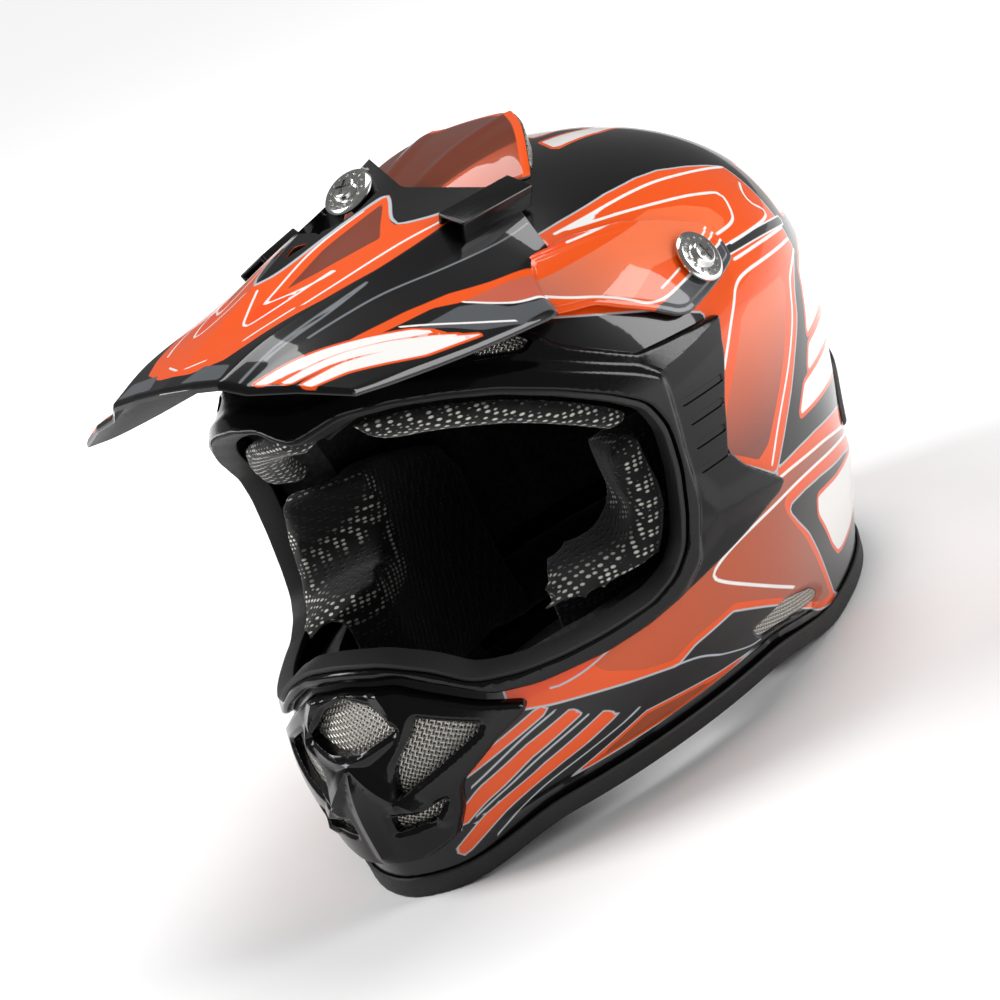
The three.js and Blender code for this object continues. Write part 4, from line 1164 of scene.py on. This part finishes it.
PLATEAU = [[-8, -202], [8, -202], [20, -194], [25, -182], [30, -165], [36, -145], [42, -115],
    [45, -95], [49, -70], [57, -39], [57, -20], [-10, -20]]
WING_STRIPE = [[53, -168], [58, -160], [62, -140], [66, -120], [72, -108], [76, -95], [82, -80],
    [84, -62], [80, -72], [74, -88], [66, -107], [60, -130], [55, -155]]
TONGUE = [[0, -138], [5, -131], [9, -117], [12, -100], [14, -85], [17, -63], [19, -58], [31, -81],
    [37, -75], [45, -62], [55, -40], [57, -20], [-10, -20], [-10, -138]]
TONGUE_VENT = [[2.5, -122], [8.5, -104], [2.5, -109]]
BROWN_FACET = [[16, -140], [22, -126], [27, -110], [32, -92], [28, -84], [20, -66], [18, -90],
    [16, -110]]
VIVID_FACET = [[10, -163], [20, -165], [22, -145], [16, -140], [11, -144]]
WING_WHITE = [
    [[37, -203], [42, -201], [50, -185], [57, -168], [64, -152], [70, -140], [74, -131], [67, -138],
     [58, -155], [50, -172], [43, -188]],
    [[46, -199], [50, -198], [56, -182], [63, -166], [70, -152], [76, -140], [80, -127], [74, -135],
     [66, -149], [58, -166], [52, -182]],
    [[54, -197], [58, -196], [63, -180], [70, -164], [77, -149], [85, -121], [79, -130], [72, -146],
     [65, -162], [59, -178]]]
SLATE = [[68, -136], [76, -126], [84, -119], [92, -103], [96, -70], [90, -70], [89, -85], [85, -97],
    [78, -102], [72, -112]]
PINK_PATCH = [[72, -107], [80, -100], [86, -92], [89, -75], [97, -66], [84, -57], [83, -70],
    [78, -85]]
NOSE_PANEL = [[8, -209], [27, -208], [26, -198], [12, -197]]
PEAK_PINLINES = [[[12, -151], [11, -120], [13, -100], [16, -75]],
    [[13, -151], [20, -143], [26, -130], [28, -122]], [[3, -141], [7, -155], [13, -171], [18, -160],
     [22, -145], [27, -122]], [[30, -150], [34, -130], [38, -105], [42, -85], [48, -65], [54, -45]],
    [[20, -180], [25, -165], [28, -153]], [[2, -197], [10, -192]],
    [[63, -140], [70, -130], [80, -117], [90, -103]],
    [[72, -108], [80, -100], [87, -90], [89, -75], [97, -65]]]
PEAK_SILVER = [[[0, -138], [5, -131], [9, -117], [12, -100], [14, -85], [17, -63], [19, -58],
    [31, -81], [37, -74], [45, -62], [55, -42]]]
# Thin grey lines along the ridges of the plateau's side: painted highlights where the ridges catch the
# light.
PAINTED_RIDGE_HIGHLIGHTS = [[[33, -205], [38, -165], [43, -123]], [[36, -190], [41, -155], [43, -125]],
    [[42, -170], [50, -120], [60, -85], [72, -47]]]


steps = np.array([0, 0.05, 0.09, 0.2, 0.32, 0.44, 0.56, 0.68, 0.8, 0.91, 0.95])
across = np.concatenate([k + steps for k in range(5)] + [[5.0]])
peak = Sheet(np.concatenate([-across[:0:-1], across]), np.linspace(0, 5, 101), on_peak, 18.0)
peak.cut(seat_gap(SLOT, 3.5), 0, -1)
for level in (0.0, 1.2):
    peak.cut(seat_gap(SEAT, 3), level)
sides = [off_axis(peak.places(), SCREWS[s]) - 4 for s in ("left", "right")]
peak.cut(np.minimum(*sides), 0, 1)
peak.cut(-within(TONGUE_VENT, 0.8, peak_plan()), 0, 1)
for outline in WING_WHITE:
    peak.cut(np.clip(within(outline, 0.8, peak_plan()), -6, 6), 0.0)
places = peak.places()
peak.cut(places[:, 2] - dome_height(places[:, 0], places[:, 1], 1.8) - 0.6, 0, 1)
for line in PEAK_PINLINES + PEAK_SILVER + PAINTED_RIDGE_HIGHLIGHTS:
    peak.score(line, peak_plan(), flat_plan, 1.0)
places = peak.places()
sunk = smooth_step(seat_gap(SEAT, 3), 0, 1.2)
seat_floor = HINGE_Z + np.sqrt(np.maximum(SEAT_RADIUS**2 - (HINGE_Y - places[:, 1])**2, 1))
drop = (seat_floor - places[:, 2]) * sunk
floor = dome_height(places[:, 0], places[:, 1], 1.9)
# The edge all round is rounded over.
edge = np.minimum(np.minimum(peak.chart[:, 1] * 32, (5 - np.abs(peak.chart[:, 0])) * 18),
                  (5 - peak.chart[:, 1]) * 30)
outer = np.minimum(drop, 0) - 1.3 * (1 - edge_lift(edge, 1.8))
inner = np.maximum(np.minimum(drop, 0) - PEAK_WALL, floor - places[:, 2])
points, faces = peak.solid(np.maximum(outer, inner + 0.3), inner)


def in_plan(outlines=(), lines=(), radius=1.5):
    """A field like drawn, for outlines and lines on the peak seen from above."""
    plan = peak_plan()
    found = np.full(len(plan), -FAR)
    for outline in outlines:
        found = np.maximum(found, within(outline, radius, plan))
    for line in lines:
        found = np.maximum(found, -distance(smoothed(line), False, plan, flat_plan(plan), flat_plan,
                                            1.0))
    return outside_only(found)


peak_fields = {
    "orange_area": in_plan([PLATEAU, WING_STRIPE]),
    "brown_area": in_plan([BROWN_FACET]),
    "vivid_area": in_plan([VIVID_FACET]),
    "tongue_area": in_plan([TONGUE]),
    "white_area": in_plan(WING_WHITE),
    "slate_area": in_plan([SLATE, NOSE_PANEL]),
    "pink_area": in_plan([PINK_PATCH]),
    "pinlines": in_plan(lines=PEAK_PINLINES),
    "silver_lines": in_plan(lines=PEAK_SILVER),
    "painted_ridge_highlights": in_plan(lines=PAINTED_RIDGE_HIGHLIGHTS),
}
# The grey lines along the plateau's ridges are painted highlights.
peak_livery = lacquered("lacquered_polypropylene_peak_graphics", "#0c0c0d", [
    ("orange_area", 0.0, ORANGE), ("brown_area", 0.0, BROWN), ("vivid_area", 0.0, VIVID),
    ("tongue_area", 0.0, "#101011"), ("white_area", -1.1, ORANGE), ("white_area", 0.0, WHITE),
    ("slate_area", 0.0, "#54575b"), ("pink_area", 0.0, "#c2604a"), ("painted_ridge_highlights", -0.35, "#7c8084"),
    ("pinlines", -0.5, WHITE), ("silver_lines", -0.7, SILVER)])
painted_peak = piece("painted_peak", make_mesh("painted_peak", points, faces, peak_fields, sharp=40),
                     "peak", peak_livery, ["peak"])
# The underside is left as moulded.
painted_peak.data.materials.append(textured_abs)
for polygon in painted_peak.data.polygons:
    if polygon.normal.z < -0.2:
        polygon.material_index = 1

EAR_FILL = [[40, 211], [50, 210.5], [70, 211], [85, 211], [95, 200], [97, 190], [70, 195], [62, 189],
    [58, 192], [50, 200], [40, 208]]
EAR_VIVID = [[44, 217], [60, 217], [58, 221], [44, 222]]
EAR_GREY = [[66, 181], [77, 184.5], [89, 187], [97, 188.5], [97, 181], [92, 178], [84, 174],
    [73, 170], [68, 172], [65, 180]]
EAR_SLASHES = [[[69, 186.5], [76, 189]], [[88, 194], [95, 196.5]], [[88, 191], [95.5, 193]]]
EAR_LINES = [[[56, 217.5], [70, 215.5], [80, 213.5], [90, 208]],
    [[45, 205], [50, 200], [55, 196], [60, 190.5], [66, 181.7], [76, 184.5], [89, 187.2],
     [96, 188.6]]]
ear_livery = lacquered("lacquered_polypropylene_ear_graphics", ORANGE, [
    ("fill_area", 0.0, fade(-62, -22, "#c4705a", "#f2764a", 1)), ("vivid_area", 0.0, VIVID),
    ("grey_area", 0.0, "#46484b"), ("lines", -0.6, WHITE), ("slashes", -0.5, WHITE)])
for side, sign in (("left", 1), ("right", -1)):
    turns = np.linspace(38, 98, 101)
    ear = Sheet(turns if sign > 0 else -turns[::-1], np.linspace(166, 224, 84), on_shell)
    edge = rounded(PEAK_EAR if sign > 0 else mirror(PEAK_EAR), 3)
    ear.cut(ear.signed(edge), 0, 1)
    for level in (0.6, 1.6, 3.5, 5.0):
        ear.cut(ear.signed(edge), level)
    ear.cut(off_axis(ear.places(), SCREWS[side]) - 4, 0, 1)
    for line in EAR_LINES + EAR_SLASHES:
        ear.score(line)
    gap = ear.signed(edge)
    lift = 2.6 + 2.0 * edge_lift(gap, 1.6) + 0.7 * smooth_step(gap, 3.5, 5.0)
    points, faces = ear.solid(lift, 2.2)
    ear_fields = {"fill_area": drawn(ear, [EAR_FILL]), "vivid_area": drawn(ear, [EAR_VIVID]),
        "grey_area": drawn(ear, [EAR_GREY]), "lines": drawn(ear, lines=EAR_LINES),
        "slashes": drawn(ear, lines=EAR_SLASHES)}
    piece("peak_ear_" + side, make_mesh("peak_ear_" + side, points, faces,
          {k: outside_only(v) for k, v in ear_fields.items()}), "peak", ear_livery)


# ---------- scoops, screws, washers ----------

SCOOP = {"width": 15, "length": 42, "height": 14, "wall": 2, "depth": 3, "turn": -0.27, "roll": 0.42,
         "at": [58, -52, 238]}


def bevelled(mesh, width, segments=3, angle=30):
    """The mesh with its edges rounded."""
    work = bmesh.new()
    work.from_mesh(mesh)
    edges = [e for e in work.edges if e.is_manifold and e.calc_face_angle(0) > math.radians(angle)]
    bmesh.ops.bevel(work, geom=edges, offset=width / MM, segments=segments, profile=0.6,
                    affect="EDGES", clamp_overlap=True)
    work.to_mesh(mesh)
    work.free()
    mesh.polygons.foreach_set("use_smooth", [True] * len(mesh.polygons))
    mesh.set_sharp_from_angle(angle=math.radians(38))
    return mesh


for name, side in (("left", 1), ("right", -1)):
    w, l, h = SCOOP["width"] / 2, SCOOP["length"] / 2, SCOOP["height"] / 2
    loops = []
    wall, depth = SCOOP["wall"], SCOOP["depth"]
    for x, z, y in ((w, h, -l), (w, h, l), (w - wall, h - wall, l - depth), (w - wall, h - wall, -l)):
        loops.append([[-x, y, -z], [x, y, -z], [x, y, z], [-x, y, z]])
    # The walls are lofted round the outside and back down the inside of the intake.
    box, quads = loft([loops[0], loops[1]], capped=False)
    cave, cave_quads = loft([loops[3], loops[2]], capped=False)
    points = np.vstack([box, cave])
    faces = quads + [[k + 8 for k in f] for f in cave_quads]
    faces += [[4, 5, 6, 7], [12, 13, 14, 15]]
    faces += [[k, (k + 1) % 4, (k + 1) % 4 + 8, k + 8] for k in range(4)]
    c, s = math.cos(SCOOP["roll"]), math.sin(SCOOP["roll"])
    points = points @ np.array([[c, 0, s], [0, 1, 0], [-s, 0, c]]).T
    c, s = math.cos(SCOOP["turn"]), math.sin(SCOOP["turn"])
    points = points @ np.array([[c, -s, 0], [s, c, 0], [0, 0, 1]]).T + SCOOP["at"]
    points[:, 2] = np.maximum(points[:, 2], dome_height(points[:, 0], points[:, 1], 1.9))
    points[:, 0] *= side
    piece("scoop_moulding_" + name, bevelled(make_mesh("scoop_moulding_" + name, points, faces), 1.0),
          "peak", moulded_abs, ["peak_scoop_" + name])


def lathe(profile, sides=84):
    """A turned shape: the profile is [radius, height] from the axis out and back to it."""
    loops = []
    for radius, height in profile:
        angles = np.linspace(0, 2 * math.pi, sides, endpoint=False)
        loops.append(np.column_stack([max(radius, 0.03) * np.cos(angles),
                                      max(radius, 0.03) * np.sin(angles), np.full(sides, height)]))
    return loft(loops)


def set_along(points, screw, start=0.0):
    """Points of a shape built about +Z, moved onto a screw's axis."""
    at, axis = screw
    side = np.cross([0, 1.0, 0], axis)
    side /= np.linalg.norm(side)
    up = np.cross(axis, side)
    x, y, z = np.asarray(points, float).T
    return at + np.outer(x, side) + np.outer(y, up) + np.outer(z + start, axis)


def carved(mesh, cutters):
    """The mesh with cutters taken out of it."""
    target = bpy.data.objects.new("carving", mesh)
    knife = bpy.data.objects.new("knife", cutters)
    for made in (target, knife):
        bpy.context.scene.collection.objects.link(made)
    add_modifier(target, "BOOLEAN", object=knife, operation="DIFFERENCE", solver="EXACT")
    bpy.context.view_layer.update()
    cut = bpy.data.meshes.new_from_object(target.evaluated_get(bpy.context.evaluated_depsgraph_get()))
    for made in (target, knife):
        bpy.data.objects.remove(made)
    cut.polygons.foreach_set("use_smooth", [True] * len(cut.polygons))
    cut.set_sharp_from_angle(angle=math.radians(30))
    return cut


FLANGE_FROM = {"left": 6.4, "right": 6.4, "top": 1.1}
SCREW_PROFILE = [[0, -13], [2.5, -13], [2.5, -0.6], [3.0, 0], [11.6, 0], [12, 0.3], [12, 1.1],
    [11.7, 1.4], [10.8, 2.1], [10.2, 2.3], [6.4, 2.5], [6.0, 2.9], [5.6, 4.2], [5.2, 4.7],
    [4.6, 4.95], [0, 5]]
DIMPLES = 14
DIMPLE_CIRCLE = 8.4
DIMPLE_PROFILE = [[0, 1.0], [0.85, 1.0], [0.85, 4], [0, 4]]
CROSS_REACH, CROSS_HALF = 3.8, 0.65


def screw_knives():
    """Cutters for the ring of dimples in a screw's flange and the cross recess in its head."""
    angles = 2 * math.pi * np.arange(DIMPLES) / DIMPLES
    shapes = []
    for angle in angles:
        points, faces = lathe(DIMPLE_PROFILE, 14)
        shapes.append((points + [DIMPLE_CIRCLE * math.cos(angle), DIMPLE_CIRCLE * math.sin(angle), 0],
                       faces))
    far, near = CROSS_REACH, CROSS_HALF
    cross = [[far, -near], [far, near], [near, near], [near, far], [-near, far], [-near, near],
             [-far, near], [-far, -near], [-near, -near], [-near, -far], [near, -far], [near, -near]]
    shapes.append(loft([[[x, y, z] for x, y in cross] for z in (2.9, 6)]))
    firsts = np.cumsum([0] + [len(points) for points, _ in shapes])
    faces = [[k + int(first) for k in f] for first, (_, faces) in zip(firsts, shapes) for f in faces]
    return np.vstack([points for points, _ in shapes]), faces


for place_name, screw in SCREWS.items():
    start = FLANGE_FROM[place_name]
    points, faces = lathe(SCREW_PROFILE)
    head = make_mesh("screw_head", set_along(points, screw, start), faces, sharp=30)
    points, faces = screw_knives()
    cutters = make_mesh("screw_knife", set_along(points, screw, start), faces)
    piece("turned_screw_" + place_name, carved(head, cutters), "peak_screw_" + place_name,
          turned_aluminium, ["peak_screw_" + place_name])


# ---------- foams and metal parts that keep their own shape ----------

for names, material in (
        (("crown_impact_liner", "cheek_foam_left", "cheek_foam_right", "chin_impact_liner_left",
          "chin_impact_liner_right"), bead_foam),
        (("screw_washer_left", "screw_washer_right", "screw_washer_top"), extruded_rubber),
        (("screw_insert_left", "screw_insert_right", "screw_insert_top"), turned_brass),
        (("strap_rivet_left", "strap_rivet_right", "strap_snap"), plated_steel)):
    for name in names:
        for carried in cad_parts[name].material_slots:
            carried.material = material


# ---------- pads ----------

SWELL_FRAMES = 20
SHRINK = 1.2  # how far a pad starts inside its plain shape, before it swells


def stuffed(name, node_name, material, cap=3.0, voxel=4.5):
    """A foam pad in its cover, swollen by cloth pressure inside the space its plain shape holds."""
    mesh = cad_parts[node_name].data.copy()
    made = bpy.data.objects.new(name, mesh)
    bpy.context.scene.collection.objects.link(made)
    add_modifier(made, "REMESH", mode="VOXEL", voxel_size=voxel / MM)
    add_modifier(made, "SMOOTH", factor=0.5, iterations=4)
    mesh = bpy.data.meshes.new_from_object(made.evaluated_get(bpy.context.evaluated_depsgraph_get()))
    made.modifiers.clear()
    made.data = mesh
    start = np.empty(len(mesh.vertices) * 3)
    normal = np.empty(len(mesh.vertices) * 3)
    mesh.vertices.foreach_get("co", start)
    mesh.vertices.foreach_get("normal", normal)
    start = start.reshape(-1, 3) - normal.reshape(-1, 3) * SHRINK / MM
    mesh.vertices.foreach_set("co", start.reshape(-1))
    cloth = made.modifiers.new("swell", "CLOTH")
    cloth.settings.use_pressure = True
    cloth.settings.uniform_pressure_force = 4
    cloth.settings.effector_weights.gravity = 0
    cloth.point_cache.frame_start = 1
    cloth.point_cache.frame_end = SWELL_FRAMES
    for at_frame in range(1, SWELL_FRAMES + 1):
        bpy.context.scene.frame_set(at_frame)
    swollen = made.evaluated_get(bpy.context.evaluated_depsgraph_get()).data
    end = np.empty(len(swollen.vertices) * 3)
    swollen.vertices.foreach_get("co", end)
    made.modifiers.clear()
    bpy.context.scene.frame_set(1)
    moved = end.reshape(-1, 3) - start
    far = np.linalg.norm(moved, axis=1)
    moved *= (np.minimum(far, cap / MM) / np.maximum(far, 1e-9))[:, None]
    mesh.vertices.foreach_set("co", (start + moved).reshape(-1))
    mesh.update()
    # Each point's distance from the eye port's outline; it places the spacer fabric's painted glint and
    # painted shade.
    spots = np.empty(len(mesh.vertices) * 3)
    mesh.vertices.foreach_get("co", spots)
    spots = spots.reshape(-1, 3) * MM - HEAD_TO_FRAME
    middle = ring_at(spots[:, 2], 0)["middle"]
    chart = np.column_stack([np.degrees(np.arctan2(spots[:, 0], middle - spots[:, 1])), spots[:, 2]])
    gap = -signed(port, chart, on_shell(chart), on_shell)
    made_gap = mesh.attributes.new("port_gap", "FLOAT", "POINT")
    made_gap.data.foreach_set("value", gap.astype(np.float32))
    mesh.polygons.foreach_set("use_smooth", [True] * len(mesh.polygons))
    add_modifier(made, "SUBSURF", levels=1, render_levels=1)
    mesh.materials.clear()
    mesh.materials.append(material)
    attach(made, "helmet")
    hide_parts(node_name)
    return made


for side in ("left", "right"):
    stuffed("cheek_cushion_" + side, "cheek_pad_" + side, spacer_fabric_painted_light)
stuffed("brow_cushion", "brow_pad", brow_fabric_painted_light, 2.0, 3.5)
stuffed("neck_cushion", "neck_roll", brushed_knit, 2.5, 4.5)
stuffed("crown_cushion", "crown_pad", brushed_knit, 2.0, 4.5)


# ---------- chin strap ----------

STRAP_Y = -12
STRAP_WIDTH = 24
STRAP_THICK = 1.6
HANG = [[84.4, 58], [83, 50], [79.6, 36], [76, 24], [73.6, 17], [70, 11.5], [64, 9]]
RING_LOOP = [[56, 8.4], [50, 7.6], [46, 6.5], [43, 3], [38, 2.6], [34.6, 4.6], [35, 8.4],
    [38.6, 11.6], [43, 12.2], [45.6, 11.4], [48.4, 10.6]]
FOLD = [[-40, 5], [-14, 3.4], [-10.4, 4.2], [-9, 6], [-10.4, 7.8], [-14, 8.4], [-44, 9.6]]


def webbing(name, path, replaced):
    """A woven strap along a path in the plane of X and Z, with bound edges."""
    path = smoothed(path, 3)
    loops = []
    section = round_section([[-STRAP_THICK / 2, -STRAP_WIDTH / 2], [STRAP_THICK / 2, -STRAP_WIDTH / 2],
                             [STRAP_THICK / 2, STRAP_WIDTH / 2], [-STRAP_THICK / 2, STRAP_WIDTH / 2]],
                            0.7, 3)
    for i, p in enumerate(path):
        run = path[min(i + 1, len(path) - 1)] - path[max(i - 1, 0)]
        run /= np.linalg.norm(run)
        aside = np.array([-run[1], run[0]])
        loops.append([[p[0] + a * aside[0], STRAP_Y + b, p[1] + a * aside[1]] for a, b in section])
    points, faces = loft(loops)
    return piece(name, make_mesh(name, points, faces), "helmet", strap_webbing, [replaced])


webbing("webbing_strap_left", HANG + RING_LOOP, "chin_strap_left")
webbing("webbing_strap_right", [[-x, z] for x, z in HANG] + FOLD, "chin_strap_right")


def d_ring(name, bar, replaced):
    """A D of bent round wire with its straight bar inside the webbing's loop."""
    x0, y0, z0 = bar
    half, depth, wire = STRAP_WIDTH / 2 + 3.5, 22, 1.5
    corners = [[0, -half], [0, half], [-8, half], [-16, half * 0.82], [-depth, half * 0.4],
               [-depth, -half * 0.4], [-16, -half * 0.82], [-8, -half]]
    path = rounded(corners, 3.5, 1.0)
    loops = []
    for i, p in enumerate(path):
        run = path[(i + 1) % len(path)] - path[i - 1]
        aside = np.array([-run[1], run[0], 0]) / np.linalg.norm(run)
        loops.append([np.array([x0 + p[0], y0 + p[1], z0]) + wire * (math.cos(a) * aside
                      + np.array([0, 0, math.sin(a)])) for a in np.linspace(0, 2 * math.pi, 16, False)])
    points, faces = loft(loops, True)
    piece(name + "_wire", make_mesh(name, points, faces), replaced, plated_steel,
          [replaced])


d_ring("bent_ring_lower", [38, STRAP_Y, 5.6], "d_ring_lower")
d_ring("bent_ring_upper", [42, STRAP_Y, 9], "d_ring_upper")


# ---------- floor, light and camera ----------

bpy.context.scene.view_settings.view_transform = "Standard"

# A floor sweep: plain under the object, and lit from within further out so that it stays even.
floor_paint, tree, bsdf = surface("matt_painted_floor", Roughness=1.0, Specular_IOR_Level=0.0,
                                  Emission_Color=(1, 1, 1, 1))
from_middle = node(tree, "VectorMath", {"operation": "LENGTH"},
                   Vector=node(tree, "TexCoord").outputs["Object"])
fill(tree, bsdf.inputs["Emission Strength"], node(tree, "MapRange", Value=from_middle.outputs["Value"],
        From_Min=0.22, From_Max=0.9, To_Min=0.0, To_Max=0.75))
speck = node(tree, "TexNoise", Vector=where(tree), Scale=0.02, Detail=2.0)
fill(tree, bsdf.inputs["Base Color"], node(tree, "Mix", BLEND, i0=speck, i6="#f6f6f6",
        i7="#fafafa").outputs[2])
bpy.ops.mesh.primitive_plane_add(size=80, location=(0, 0, -0.0005))
ground = bpy.context.object
ground.name = "studio_floor"
ground.data.materials.append(floor_paint)

world = bpy.data.worlds.new("pale_studio")
bpy.context.scene.world = world
world.use_nodes = True
world.node_tree.nodes["Background"].inputs["Color"].default_value = (1, 1, 1, 1)
# White to look at, and dim as a light, so that the lacquer keeps its depth.
seen = node(world.node_tree, "LightPath").outputs["Is Camera Ray"]
fill(world.node_tree, world.node_tree.nodes["Background"].inputs["Strength"], node(world.node_tree,
        "MapRange", Value=seen, From_Min=0, From_Max=1, To_Min=0.17, To_Max=1.0))


def softbox(name, at, aim, size, power):
    """A large rectangular lamp."""
    lamp = bpy.data.lights.new(name, "AREA")
    lamp.shape = "RECTANGLE"
    lamp.size, lamp.size_y = size
    lamp.energy = power
    made = bpy.data.objects.new(name, lamp)
    bpy.context.scene.collection.objects.link(made)
    made.location = at
    made.rotation_euler = (Vector(aim) - Vector(at)).to_track_quat("-Z", "Y").to_euler()


softbox("key_softbox", (-1.3, -1.0, 1.5), (0, -0.05, 0.15), (0.9, 0.9), 34)
softbox("overhead_softbox", (0.1, 0.5, 2.0), (0, 0, 0.15), (1.0, 1.0), 22)
softbox("side_softbox", (1.9, 0.9, 0.9), (0, 0, 0.15), (0.7, 1.3), 24)

CAMERA_AT = (0.6729, -0.8913, 0.4369)
FOCAL_LENGTH = 92.23
AZIMUTH, ELEVATION, ROLL = (math.radians(a) for a in (37.8, 16.5, 21.25))
backwards = Vector((math.sin(AZIMUTH) * math.cos(ELEVATION), -math.cos(AZIMUTH) * math.cos(ELEVATION),
                    math.sin(ELEVATION)))
level_right = Vector((math.cos(AZIMUTH), math.sin(AZIMUTH), 0))
level_up = backwards.cross(level_right)
right = math.cos(ROLL) * level_right - math.sin(ROLL) * level_up
up = math.sin(ROLL) * level_right + math.cos(ROLL) * level_up
lens = bpy.data.cameras.new("studio_camera")
lens.lens = FOCAL_LENGTH
lens.sensor_width = 36
camera = bpy.data.objects.new("studio_camera", lens)
bpy.context.scene.collection.objects.link(camera)
pose = np.eye(4)
pose[:3, :3] = np.array([right, up, backwards]).T
pose[:3, 3] = CAMERA_AT
camera.matrix_world = Matrix(pose.tolist())
bpy.context.scene.camera = camera
